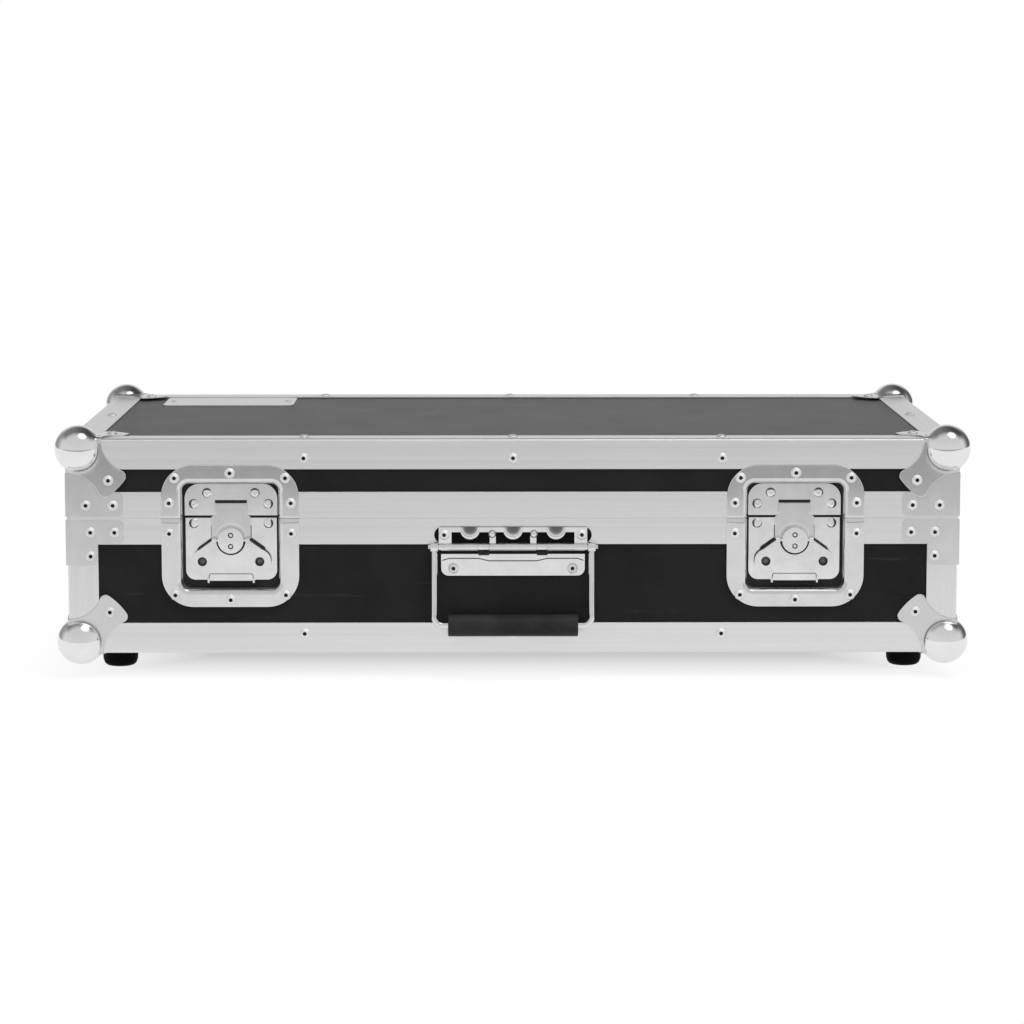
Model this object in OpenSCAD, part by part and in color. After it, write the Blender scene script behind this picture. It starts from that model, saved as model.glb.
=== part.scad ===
// Flight case for a board of guitar pedals: laminated plywood panels in double-angle aluminium
// edging, pressed ball corners, two recessed butterfly twist latches, a hinged lid and a folding
// bail handle. Millimetres. X runs to the right, Y to the back and Z up. The origin is on the
// floor, under the middle of the whole outline.

/* [Case] */
// Width of the case over its edging
case_w = 725; // [660:5:900]
// Depth of the case over its edging
case_d = 400; // [380:5:600]
// Height of the base, from the underside of its edging to the split
base_h = 111; // [100:1:160]
// Height of the lid above the split
lid_h = 65; // [62:1:110]

/* [Panels and edging] */
// Thickness of the laminated plywood
panel_t = 7; // [6:0.5:8]
// Wall of the aluminium extrusions
wall = 1.5; // [1.2:0.1:1.8]
// Outer leg of the corner edging
edge_leg = 25; // [22:0.5:28]
// Inner leg of the corner edging, measured from the outside of the case
edge_inner_leg = 18; // [15:0.5:20]
// Rounding of the edging along the corner of the case
edge_r = 2.5; // [1:0.25:3]
// Outer leg of the rims on both sides of the split
rim_leg = 21.5; // [20.5:0.5:25]
// Inner leg of the rims
rim_inner_leg = 16; // [12:0.5:18]
// Depth of the groove in the base's rim
groove_depth = 5; // [4:0.25:6]
// Width of the groove at its mouth
groove_w = 5.2; // [4.8:0.1:5.6]
// Width of the groove at its floor
groove_floor_w = 3.6; // [3.2:0.1:4]

/* [Ball corners] */
// Radius of the pressed ball
ball_r = 19.4; // [17:0.2:22]
// Distance of the ball's middle behind each of the three faces
ball_in = 9; // [7:0.5:11]
// Reach of a petal from the corner of the case
petal_r = 58; // [54:1:60]
// Where a petal's edge meets the edge of the case
petal_foot = 28; // [26:1:30]
// Radius of the hollow side of a petal
petal_side_r = 28; // [24:1:32]
// Rounding of a petal's shoulders
petal_shoulder_r = 5; // [3:0.5:6]
// Thickness of the pressed steel of the corners and braces
press_t = 1.2; // [1:0.1:1.5]

/* [Corner braces] */
// Length of a brace along the rim
brace_len = 45.5; // [42:0.5:52]
// Height of a brace along the rim
brace_h = 19.5; // [18:0.5:19.5]
// Reach of a brace along the upright, from the split
brace_drop = 38.5; // [34:0.5:42]
// Width of a brace on the upright
brace_w = 24.8; // [20:0.2:25]
// Distance of a brace from the split
brace_gap = 1.5; // [1:0.25:2]
// Rounding of a brace's free corners
brace_r = 4; // [2:0.5:5]

/* [Rivets] */
// Radius of a rivet's head
rivet_r = 4; // [3.5:0.1:4.4]
// Height of a rivet's head
rivet_h = 1.7; // [1.2:0.1:1.7]
// Radius of the mandrel hole in a rivet
mandrel_r = 1.3; // [1:0.1:1.6]
// Distance of the outer rivets of the long edging from the sides of the case
edge_rivet_end = 192.5; // [165:2.5:230]

/* [Feet and lining] */
// Height of the edging above the floor
foot_drop = 20.5; // [14:0.5:30]
// Radius of a rubber foot where it meets the case
foot_r = 15.5; // [13:0.5:15.5]
// Radius of a rubber foot at the floor
foot_floor_r = 14; // [12:0.5:15]
// Distance of a foot from the side of the case
foot_side = 35; // [35:1:70]
// Distance of a foot from the front or back of the case
foot_front = 66; // [64:1:100]
// Thickness of the foam on the walls
foam_wall = 12; // [11:1:20]
// Thickness of the foam on the floor and under the lid's top
foam_floor = 15; // [10:1:20]

/* [Latches] */
// Distance of the middle of each latch from the side of the case
latch_in = 132.5; // [105:2.5:140]
// Width of the latch dish over its flange
dish_w = 112; // [106:1:118]
// Reach of the dish's flange below the split
dish_below = 73.3; // [70:0.1:76]
// Reach of the dish's flange above the split
dish_above = 42.4; // [40:0.1:44]
// Rounding of the flange's corners
dish_r = 26; // [22:1:30]
// Width of the pocket
pocket_w = 78.8; // [78.4:0.2:82]
// Reach of the pocket below the split
pocket_below = 58.4; // [58:0.1:60]
// Reach of the pocket above the split
pocket_above = 28.4; // [27:0.1:30]
// Rounding of the pocket's corners
pocket_r = 6; // [4:0.5:8]
// Depth of the pocket behind the outer face of the edging
pocket_d = 13.5; // [13.5:0.1:14.5]
// Distance of the cam's axis below the split
pivot_drop = 19; // [19:0.1:19.5]
// Radius of the cam's disc
disc_r = 10.4; // [9:0.1:10.6]
// Radius of the cam's post
post_r = 5; // [4:0.1:5.5]
// Lift of the hook over half a turn of the cam
hook_lift = 8; // [6:0.5:8]
// Thickness of the latch's plates
plate_t = 1.2; // [1:0.1:1.3]
// Thickness of the hook and the wing
hook_t = 1.5; // [1.2:0.1:1.6]
// Radius of the wing's lobes
lobe_r = 9.5; // [8:0.1:9.6]
// Distance of a lobe's middle from the cam's axis, sideways
lobe_x = 23; // [21:0.1:23]
// Distance of a lobe's middle below the cam's axis
lobe_z = 17; // [15:0.1:17]
// Radius of the finger holes
finger_r = 3.75; // [3:0.05:4.5]

/* [Handle] */
// Distance of the handle's rod below the split
rod_drop = 23.2; // [23:0.1:25]
// Distance of the rod in front of the edging
rod_out = 4.5; // [4.5:0.1:5]
// Radius of the rod
rod_r = 1.8; // [1.5:0.05:1.9]
// Distance between the rod and the middle of the grip
bail_drop = 63.8; // [56:0.2:66]
// Distance between the end of the grip and the middle of the bail's leg
bail_end = 11.15; // [10.75:0.05:13]
// Radius of the bail's wire
wire_r = 2.5; // [2:0.1:2.7]
// Bend of the bail's wire
bend_r = 7; // [5:0.5:8]
// Forward lean of the hanging bail
bail_lean = 4.5; // [4.5:0.1:6]
// Length of the rubber grip
grip_len = 105.7; // [90:0.1:120]
// Radius of the rubber grip
grip_r = 9; // [8:0.1:9]

/* [Hinges] */
// Distance of the middle of each hinge from the side of the case
hinge_in = 162.5; // [95:2.5:220]
// Length of a hinge
hinge_len = 64; // [50:1:80]
// Distance of the hinge pin behind the edging
pin_out = 4.5; // [4.5:0.1:5.5]
// Distance of the hinge pin below the split
pin_drop = 2.1; // [2:0.1:2.4]
// Radius of the hinge pin
pin_r = 2; // [1.6:0.1:2.2]
// Radius of the hinge's barrel
barrel_r = 3.6; // [3.2:0.1:3.7]
// Height of a hinge leaf
leaf_h = 19; // [16:0.5:20]
// Thickness of a hinge leaf
leaf_t = 1.5; // [1.2:0.1:1.6]

/* [Hidden] */

$fn = 48;
// How far a cutting body runs past what it cuts
overrun = 2;
// Play left between parts that are cut to meet
mitre_gap = 0.1;
panel_gap = 0.1;
petal_gap = 0.2;
notch_gap = 0.3;
// Play between parts that move past each other
slide_gap = 0.3;
// Radial play of a pin in its hole
run_gap = 0.05;
// Play of the lid's tongue in the groove
tongue_gap = 0.6;
tongue_floor_gap = 0.8;

// Heights and distances that follow from the sizes above
case_h = base_h + lid_h;
web = 2 * wall + panel_t;
panel_back = wall + panel_t;
rim_web = groove_depth + wall;
groove_at = web / 2;
tongue_d = groove_depth - tongue_floor_gap;
petal_centre = petal_foot + petal_side_r;
latch_at = case_w / 2 - latch_in;
hinge_at = case_w / 2 - hinge_in;
bail_x = grip_len / 2 + bail_end;
rod_z = base_h - rod_drop;
bail_out = rod_out + bail_drop * sin(bail_lean);
case_y = (bail_out + grip_r - (ball_r - ball_in)) / 2;
hinge_step = hinge_len / 3;

// Moves a part from the case's own frame, which starts at the middle of its underside
module in_case() {
    translate([0, case_y, foot_drop]) children();
}

// Turns a base part over, so that it serves the lid
module on_lid() {
    translate([0, 0, case_h]) mirror([0, 0, 1]) children();
}

// Repeats a part drawn at the front left corner at all four corners
module at_corners() {
    for (side = [0, 1], back = [0, 1]) {
        mirror([side, 0, 0]) mirror([0, back, 0]) translate([-case_w / 2, -case_d / 2, 0]) children();
    }
}

// Lays a plane outline along X, centred: its first axis points inwards and its second up
module run_x(len) {
    translate([-len / 2, 0, 0]) rotate([90, 0, 90]) linear_extrude(len) children();
}

// Raises a plane outline, drawn across the front, into a sheet between two depths
module sheet(near, far) {
    translate([0, far, 0]) rotate([90, 0, 0]) linear_extrude(far - near) children();
}

// A round bar through the front, between two depths
module turned(near, far, r) {
    translate([0, far, 0]) rotate([90, 0, 0]) cylinder(h = far - near, r = r);
}

// What is left of a square corner outside its rounding, to be cut away
module corner_nip(r) {
    difference() {
        translate([-overrun, -overrun]) square(r + overrun);
        translate([r, r]) circle(r);
    }
}

// A plate with four round corners, standing on its lower left corner
module round_plate(w, h, r) {
    translate([r, 0]) square([w - 2 * r, h]);
    translate([0, r]) square([w, h - 2 * r]);
    for (x = [r, w - r], y = [r, h - r]) {
        translate([x, y]) circle(r);
    }
}

// The two points where a straight side touches two discs [x, y, radius], outside on the right
function side_touch(a, b) =
    let (run = [b[0] - a[0], b[1] - a[1]], u = run / norm(run), k = (a[2] - b[2]) / norm(run),
         n = u * k + [u[1], -u[0]] * sqrt(1 - k * k))
    [[a[0], a[1]] + n * a[2], [b[0], b[1]] + n * b[2]];

// The outline of a belt round a list of discs, given anticlockwise
module belt(discs) {
    last = len(discs) - 1;
    polygon([for (i = [0 : last]) each side_touch(discs[i], discs[i == last ? 0 : i + 1])]);
    for (d = discs) {
        translate([d[0], d[1]]) circle(d[2]);
    }
}

// Section of the corner edging, with a hollow corner and a slot for each panel
module edge_section() {
    difference() {
        polygon([[0, 0], [edge_leg, 0], [edge_leg, wall], [web, wall], [web, panel_back],
            [edge_inner_leg, panel_back], [edge_inner_leg, web], [web, web],
            [web, edge_inner_leg], [panel_back, edge_inner_leg], [panel_back, web],
            [wall, web], [wall, edge_leg], [0, edge_leg]]);
        translate([wall, wall]) square(panel_t);
        corner_nip(edge_r);
    }
}

// Section of the base's rim, below the split, with the groove
module base_rim_section() {
    polygon([[0, -rim_leg], [wall, -rim_leg], [wall, -rim_web], [panel_back, -rim_web],
        [panel_back, -rim_inner_leg], [web, -rim_inner_leg], [web, 0],
        [groove_at + groove_w / 2, 0], [groove_at + groove_floor_w / 2, -groove_depth],
        [groove_at - groove_floor_w / 2, -groove_depth], [groove_at - groove_w / 2, 0], [0, 0]]);
}

// Section of the lid's rim, above the split, with the tongue
module lid_rim_section() {
    polygon([[0, 0], [groove_at - groove_w / 2 + tongue_gap, 0],
        [groove_at - groove_floor_w / 2 + tongue_gap, -tongue_d],
        [groove_at + groove_floor_w / 2 - tongue_gap, -tongue_d],
        [groove_at + groove_w / 2 - tongue_gap, 0], [web, 0], [web, rim_inner_leg],
        [panel_back, rim_inner_leg], [panel_back, wall], [wall, wall], [wall, rim_leg],
        [0, rim_leg]]);
}

// The room between two mitres, seen square to a run of the given length
module mitre_plan(len) {
    near = len / 2 - mitre_gap + overrun;
    far = len / 2 - mitre_gap - edge_leg - overrun;
    polygon([[-near, -overrun], [near, -overrun], [far, edge_leg + overrun],
        [-far, edge_leg + overrun]]);
}

// A length of edging along X, mitred on both of its legs
module edge_run(len) {
    intersection() {
        run_x(len) edge_section();
        translate([0, 0, -overrun]) linear_extrude(edge_leg + 2 * overrun) mitre_plan(len);
        sheet(-overrun, edge_leg + overrun) mitre_plan(len);
    }
}

// A length of rim along X, mitred in plan
module rim_run(len) {
    intersection() {
        run_x(len) children();
        translate([0, 0, -edge_leg]) linear_extrude(2 * edge_leg) mitre_plan(len);
    }
}

module front_edge() {
    translate([0, -case_d / 2, 0]) edge_run(case_w);
}

module left_edge() {
    translate([-case_w / 2, 0, 0]) mirror([1, -1, 0]) edge_run(case_d);
}

// Four uprights between the mitred edging and the rim, in a half that is h high
module uprights(h) {
    top = h - rim_leg - mitre_gap;
    at_corners() intersection() {
        linear_extrude(top) edge_section();
        upright_room(top);
        mirror([1, -1, 0]) upright_room(top);
    }
}

// The room above an upright's mitre, seen from the front
module upright_room(top) {
    deep = edge_leg + overrun;
    sheet(-overrun, deep)
        polygon([[-overrun, mitre_gap - overrun], [deep, mitre_gap + deep], [deep, top + overrun],
            [-overrun, top + overrun]]);
}

// A panel that stands in the edging at the front, between two heights
module front_panel(low, high) {
    w = case_w - 2 * (web + panel_gap);
    translate([-w / 2, wall - case_d / 2, low]) cube([w, panel_t, high - low]);
}

module left_panel(low, high) {
    d = case_d - 2 * (web + panel_gap);
    translate([wall - case_w / 2, -d / 2, low]) cube([panel_t, d, high - low]);
}

// The large panel of the base's bottom or, turned over, of the lid's top
module flat_panel() {
    w = case_w - 2 * (web + panel_gap);
    d = case_d - 2 * (web + panel_gap);
    translate([-w / 2, -d / 2, wall]) cube([w, d, panel_t]);
}

// Moves a latch part from the split on the face of the edging to its place
module at_latch(side) {
    in_case() translate([side * latch_at, -case_d / 2, base_h]) children();
}

module flange_outline() {
    translate([-dish_w / 2, -dish_below])
        round_plate(dish_w, dish_below + dish_above, dish_r);
}

module pocket_outline(grow = 0) {
    translate([-pocket_w / 2 - grow, -pocket_below - grow])
        round_plate(pocket_w + 2 * grow, pocket_below + pocket_above + 2 * grow, pocket_r + grow);
}

// What the pockets of both dishes take out of panels and rims
module pocket_cuts() {
    for (side = [-1, 1]) {
        translate([side * latch_at, -case_d / 2, base_h])
            sheet(-overrun, pocket_d + overrun) pocket_outline(press_t + notch_gap);
    }
}

base_panel_low = web + panel_gap;
base_panel_high = base_h - rim_web - panel_gap;
lid_panel_low = base_h + wall + panel_gap;
lid_panel_high = case_h - web - panel_gap;

module base_bottom_panel() {
    color("dimgray") in_case() flat_panel();
}

module base_front_panel() {
    color("dimgray") in_case() difference() {
        front_panel(base_panel_low, base_panel_high);
        pocket_cuts();
    }
}

module base_back_panel() {
    color("dimgray") in_case() mirror([0, 1, 0]) front_panel(base_panel_low, base_panel_high);
}

module base_left_panel() {
    color("dimgray") in_case() left_panel(base_panel_low, base_panel_high);
}

module base_right_panel() {
    color("dimgray") in_case() mirror([1, 0, 0]) left_panel(base_panel_low, base_panel_high);
}

module lid_top_panel() {
    color("dimgray") in_case() on_lid() flat_panel();
}

module lid_front_panel() {
    color("dimgray") in_case() difference() {
        front_panel(lid_panel_low, lid_panel_high);
        pocket_cuts();
    }
}

module lid_back_panel() {
    color("dimgray") in_case() mirror([0, 1, 0]) front_panel(lid_panel_low, lid_panel_high);
}

module lid_left_panel() {
    color("dimgray") in_case() left_panel(lid_panel_low, lid_panel_high);
}

module lid_right_panel() {
    color("dimgray") in_case() mirror([1, 0, 0]) left_panel(lid_panel_low, lid_panel_high);
}

module base_front_edge() {
    color("silver") in_case() front_edge();
}

module base_back_edge() {
    color("silver") in_case() mirror([0, 1, 0]) front_edge();
}

module base_left_edge() {
    color("silver") in_case() left_edge();
}

module base_right_edge() {
    color("silver") in_case() mirror([1, 0, 0]) left_edge();
}

module base_uprights() {
    color("silver") in_case() uprights(base_h);
}

module lid_front_edge() {
    color("silver") in_case() on_lid() front_edge();
}

module lid_back_edge() {
    color("silver") in_case() on_lid() mirror([0, 1, 0]) front_edge();
}

module lid_left_edge() {
    color("silver") in_case() on_lid() left_edge();
}

module lid_right_edge() {
    color("silver") in_case() on_lid() mirror([1, 0, 0]) left_edge();
}

module lid_uprights() {
    color("silver") in_case() on_lid() uprights(lid_h);
}

// The rim along the front, at the height of the split
module long_rim() {
    translate([0, -case_d / 2, base_h]) rim_run(case_w) children();
}

module short_rim() {
    translate([-case_w / 2, 0, base_h]) mirror([1, -1, 0]) rim_run(case_d) children();
}

module base_rim_front() {
    color("silver") in_case() difference() {
        long_rim() base_rim_section();
        pocket_cuts();
    }
}

module base_rim_back() {
    color("silver") in_case() mirror([0, 1, 0]) long_rim() base_rim_section();
}

module base_rim_left() {
    color("silver") in_case() short_rim() base_rim_section();
}

module base_rim_right() {
    color("silver") in_case() mirror([1, 0, 0]) short_rim() base_rim_section();
}

module lid_rim_front() {
    color("silver") in_case() difference() {
        long_rim() lid_rim_section();
        pocket_cuts();
    }
}

module lid_rim_back() {
    color("silver") in_case() mirror([0, 1, 0]) long_rim() lid_rim_section();
}

module lid_rim_left() {
    color("silver") in_case() short_rim() lid_rim_section();
}

module lid_rim_right() {
    color("silver") in_case() mirror([1, 0, 0]) short_rim() lid_rim_section();
}

// Middle of the disc that rounds a petal's shoulder: inside the end arc and beside the hollow
shoulder_x = (pow(petal_r - petal_shoulder_r, 2) - pow(petal_side_r + petal_shoulder_r, 2)
    + pow(petal_centre, 2)) / (2 * petal_centre);
shoulder_y = sqrt(pow(petal_r - petal_shoulder_r, 2) - pow(shoulder_x, 2));

// Cuts the sharp tip between the end arc and the hollow side, and puts a round shoulder there
module petal_tip_cut() {
    c = [shoulder_x, shoulder_y];
    on_arc = c / norm(c) * petal_r;
    from_side = c - [petal_centre, 0];
    on_side = [petal_centre, 0] + from_side / norm(from_side) * petal_side_r;
    out = (on_arc + on_side) / 2 - c;
    far = out / norm(out) * 3 * petal_shoulder_r;
    polygon([on_arc, on_side, on_side + far, on_arc + far]);
}

// One petal of a ball corner, with the corner of the case at the origin, grown by a margin
module petal_outline(grow = 0) {
    difference() {
        intersection() {
            circle(petal_r + grow);
            translate([-press_t, -press_t]) square(petal_r + overrun);
        }
        translate([petal_centre, 0]) circle(petal_side_r - grow);
        translate([0, petal_centre]) circle(petal_side_r - grow);
        petal_tip_cut();
        mirror([1, -1]) petal_tip_cut();
    }
    translate([shoulder_x, shoulder_y]) circle(petal_shoulder_r + grow);
    translate([shoulder_y, shoulder_x]) circle(petal_shoulder_r + grow);
}

// A hollow pressed ball with a petal on each face, outside the corner of the case
module ball_corner() {
    difference() {
        union() {
            translate([ball_in, ball_in, ball_in]) sphere(ball_r);
            translate([0, 0, -press_t]) linear_extrude(press_t) petal_outline();
            rotate([90, 0, 0]) linear_extrude(press_t) petal_outline();
            mirror([1, 0, 0]) rotate([90, 0, 90]) linear_extrude(press_t) petal_outline();
        }
        translate([ball_in, ball_in, ball_in]) sphere(ball_r - press_t);
        cube(petal_r + overrun);
    }
}

module base_ball_corners() {
    color("gainsboro") in_case() at_corners() ball_corner();
}

module lid_ball_corners() {
    color("gainsboro") in_case() on_lid() at_corners() ball_corner();
}

// A brace's outline on one face of a half that is h high: X from the corner, Y from the split
module brace_outline(h) {
    difference() {
        union() {
            translate([-press_t, brace_gap]) square([brace_len + press_t, brace_h]);
            translate([-press_t, brace_gap])
                square([brace_w + press_t, brace_drop - brace_gap]);
        }
        translate([brace_len, brace_gap]) mirror([1, 0]) corner_nip(brace_r);
        translate([brace_len, brace_gap + brace_h]) rotate(180) corner_nip(brace_r);
        translate([brace_w, brace_drop]) rotate(180) corner_nip(brace_r);
        translate([0, h]) mirror([0, 1]) petal_outline(petal_gap);
    }
}

// Four braces folded round the corners, standing up from the split
module braces(h) {
    at_corners() {
        rotate([90, 0, 0]) linear_extrude(press_t) brace_outline(h);
        mirror([1, -1, 0]) rotate([90, 0, 0]) linear_extrude(press_t) brace_outline(h);
    }
}

module base_corner_braces() {
    color("darkgray") in_case() translate([0, 0, base_h]) mirror([0, 0, 1]) braces(base_h);
}

module lid_corner_braces() {
    color("darkgray") in_case() translate([0, 0, base_h]) braces(lid_h);
}

// A blind rivet's head, a low dome with the mandrel's hole
module rivet() {
    dome_r = (rivet_r * rivet_r + rivet_h * rivet_h) / (2 * rivet_h);
    difference() {
        intersection() {
            translate([0, 0, rivet_h - dome_r]) sphere(dome_r);
            cylinder(h = rivet_h + overrun, r = rivet_r + overrun);
        }
        translate([0, 0, rivet_h / 4]) cylinder(h = rivet_h, r = mandrel_r);
    }
}

// A rivet in the front face, lifted off the edging by what it holds
module front_rivet(x, z, lift = 0) {
    translate([x, -case_d / 2 - lift, z]) rotate([90, 0, 0]) rivet();
}

module side_rivet(y, z, lift = 0) {
    translate([-case_w / 2 - lift, y, z]) rotate([0, -90, 0]) rivet();
}

module under_rivet(x, y, lift = 0) {
    translate([x, y, -lift]) rotate([180, 0, 0]) rivet();
}

// Where rivets sit: on a petal, on the edging and on a brace
petal_rivet = 34;
edge_rivet_in = 16;
base_brace_rivet_near = 19;
base_brace_rivet_far = 38.5;
base_brace_rivet_drop = 11.5;
base_brace_rivet_low = 31;
lid_brace_rivet_near = 15.5;
lid_brace_rivet_far = 37.5;
lid_brace_rivet_rise = 10.6;

// One rivet in each petal of the four corners
module petal_rivets() {
    for (side = [0, 1], back = [0, 1]) {
        mirror([side, 0, 0]) mirror([0, back, 0]) {
            front_rivet(petal_rivet - case_w / 2, petal_rivet, press_t);
            side_rivet(petal_rivet - case_d / 2, petal_rivet, press_t);
            under_rivet(petal_rivet - case_w / 2, petal_rivet - case_d / 2, press_t);
        }
    }
}

// Rivets through both legs of the edging, on all four sides
module edge_rivets() {
    for (back = [0, 1], x = [-1, 0, 1] * (case_w / 2 - edge_rivet_end)) {
        mirror([0, back, 0]) {
            front_rivet(x, edge_rivet_in);
            under_rivet(x, edge_rivet_in - case_d / 2);
        }
    }
    for (side = [0, 1]) {
        mirror([side, 0, 0]) {
            side_rivet(0, edge_rivet_in);
            under_rivet(edge_rivet_in - case_w / 2, 0);
        }
    }
}

// Rivets in the braces, at the given distances [from the corner, from the split]
module brace_rivets(places, up) {
    for (side = [0, 1], back = [0, 1], p = places) {
        mirror([side, 0, 0]) mirror([0, back, 0]) {
            front_rivet(p[0] - case_w / 2, base_h + up * p[1], press_t);
            side_rivet(p[0] - case_d / 2, base_h + up * p[1], press_t);
        }
    }
}

// Rivets round the flange of the dish, at [from the middle, from the split]
flange_rivet_x = 45;
flange_rivet_side = 49.5;
flange_rivet_split = 12.5;
flange_rivet_low = 63;
flange_rivet_foot = 67;
flange_rivet_high = 33;
flange_rivet_head = 37;

module flange_rivets(places) {
    for (side = [-1, 1], p = places) {
        front_rivet(side * latch_at + p[0], base_h + p[1], press_t);
    }
}

module base_rivets() {
    near = [base_brace_rivet_near, base_brace_rivet_drop];
    far = [base_brace_rivet_far, base_brace_rivet_drop];
    low = [base_brace_rivet_near, base_brace_rivet_low];
    color("whitesmoke") in_case() {
        petal_rivets();
        edge_rivets();
        brace_rivets([near, far, low], -1);
        flange_rivets([for (s = [-1, 1]) each [[s * flange_rivet_side, -flange_rivet_split],
            [s * flange_rivet_x, -flange_rivet_low]]]);
        flange_rivets([[0, -flange_rivet_foot]]);
        handle_rivets();
    }
}

module lid_rivets() {
    near = [lid_brace_rivet_near, lid_brace_rivet_rise];
    far = [lid_brace_rivet_far, lid_brace_rivet_rise];
    color("whitesmoke") in_case() {
        on_lid() {
            petal_rivets();
            edge_rivets();
        }
        brace_rivets([near, far], 1);
        flange_rivets([for (s = [-1, 1]) each [[s * flange_rivet_side, flange_rivet_split],
            [s * flange_rivet_x, flange_rivet_high]]]);
        flange_rivets([[0, flange_rivet_head]]);
    }
}

// A rubber foot with rounded lower edge and a recess for its screw
foot_edge_r = 5;
screw_r = 4.5;
screw_deep = 9;

module foot() {
    rotate([180, 0, 0]) translate([0, 0, -wall]) difference() {
        rotate_extrude() difference() {
            polygon([[0, 0], [foot_r, 0], [foot_floor_r, foot_drop + wall],
                [0, foot_drop + wall]]);
            translate([foot_floor_r, foot_drop + wall]) rotate(180) corner_nip(foot_edge_r);
        }
        translate([0, 0, foot_drop + wall - screw_deep])
            cylinder(h = screw_deep + overrun, r = screw_r);
    }
}

// The feet stand on the panel, cut away over the edging's leg
module feet() {
    color("black") in_case() at_corners() difference() {
        translate([foot_side, foot_front, 0]) foot();
        cube([edge_leg + notch_gap, case_d / 2, wall + overrun]);
    }
}

// Foam in a half that is h high: a slab on the panel and four walls between the inner legs
foam_in = edge_inner_leg + notch_gap;

module foam_lining(h) {
    low = foam_in;
    high = h - rim_inner_leg - notch_gap;
    w = case_w - 2 * panel_back;
    d = case_d - 2 * panel_back;
    slab_w = case_w - 2 * foam_in;
    slab_d = case_d - 2 * foam_in;
    cross_w = case_w - 2 * foam_in;
    cross_d = case_d - 2 * foam_in;
    difference() {
        union() {
            translate([-slab_w / 2, -slab_d / 2, panel_back])
                cube([slab_w, slab_d, foam_floor]);
            translate([-cross_w / 2, -d / 2, low]) cube([cross_w, d, high - low]);
            translate([-w / 2, -cross_d / 2, low]) cube([w, cross_d, high - low]);
        }
        translate([foam_wall - w / 2, foam_wall - d / 2, panel_back + foam_floor])
            cube([w - 2 * foam_wall, d - 2 * foam_wall, h]);
    }
}

// The foam stands clear of the latches' pockets and of the cams' tails behind them
module foam_latch_cuts() {
    deep = panel_back + foam_wall;
    half = pocket_w / 2 + press_t + notch_gap;
    for (side = [-1, 1]) {
        translate([side * latch_at - half, -case_d / 2, base_h - pocket_below - press_t - notch_gap])
            cube([2 * half, deep, pocket_below + pocket_above + 2 * (press_t + notch_gap)]);
    }
}

module base_foam() {
    color("darkslategray") in_case() difference() {
        foam_lining(base_h);
        foam_latch_cuts();
    }
}

module lid_foam() {
    color("darkslategray") in_case() difference() {
        on_lid() foam_lining(lid_h);
        foam_latch_cuts();
    }
}

// Depths of the latch's layers, from its floor forwards
floor_at = pocket_d - press_t;
plate_at = floor_at - plate_t;
hook_at = plate_at - slide_gap - hook_t;
// The wing's cross pin and the knuckles that turn on it
knuckle_r = 2.6;
trunnion_r = 1.2;
trunnion_at = hook_at - slide_gap - knuckle_r - run_gap;
wing_rise = 1.07;
wing_at = trunnion_at - wing_rise;
disc_at = 2.6;
disc_back = hook_at - 2 * slide_gap;
tail_r = 7;
tail_t = 1;

// The strip of panel between rim and edging, in a half that is h high
module skirt_room(h) {
    translate([-dish_w, rim_leg + notch_gap])
        square([2 * dish_w, h - edge_leg - rim_leg - 2 * notch_gap]);
}

// A full dish with its flange and pocket, and a skirt that fills the step down to the panels
module dish() {
    difference() {
        union() {
            sheet(-press_t, 0) flange_outline();
            sheet(-press_t, pocket_d) pocket_outline(press_t);
            sheet(-press_t, wall) intersection() {
                flange_outline();
                union() {
                    skirt_room(lid_h);
                    mirror([0, 1]) skirt_room(base_h);
                }
            }
        }
        sheet(-press_t - overrun, floor_at) pocket_outline();
    }
}

// The part of the dish on one side of the split
module dish_half(up) {
    intersection() {
        dish();
        translate([-dish_w, -dish_w, up > 0 ? slide_gap / 2 : -2 * dish_w - slide_gap / 2])
            cube(2 * dish_w);
    }
}

module latch_dish(side) {
    color("silver") at_latch(side) difference() {
        dish_half(-1);
        translate([0, 0, -pivot_drop]) turned(floor_at - overrun, pocket_d + overrun, post_r + run_gap);
    }
}

module keeper_dish(side) {
    color("silver") at_latch(side) dish_half(1);
}

// The plate under the cam, and its places from the middle and the split
base_plate_half = 37.2;
base_plate_low = 52;
base_plate_top = 1;
base_plate_r = 8;
side_rivet_x = 30.4;
base_plate_rivet_z = 5.5;

module latch_base_plate(side) {
    color("lightgray") at_latch(side) {
        difference() {
            sheet(plate_at, floor_at) difference() {
                translate([-base_plate_half, -base_plate_low])
                    square([2 * base_plate_half, base_plate_low - base_plate_top]);
                for (m = [0, 1]) {
                    mirror([m, 0]) translate([-base_plate_half, -base_plate_low])
                        corner_nip(base_plate_r);
                }
            }
            translate([0, 0, -pivot_drop]) turned(plate_at - overrun, floor_at + overrun,
                post_r + slide_gap);
        }
        for (s = [-1, 1]) {
            translate([s * side_rivet_x, plate_at, -base_plate_rivet_z]) rotate([90, 0, 0]) rivet();
        }
    }
}

// The keeper in the lid, with the slot for the hook's nose and its rivets
keeper_half = 37.8;
keeper_top = 27;
keeper_low = 1;
keeper_r = 12;
keeper_rivet_x = 19.5;
keeper_rivet_z = 19.5;
keeper_side_rivet_z = 10.5;
slot_half = 13;
slot_low = 11;
slot_high = 13.6;

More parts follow.
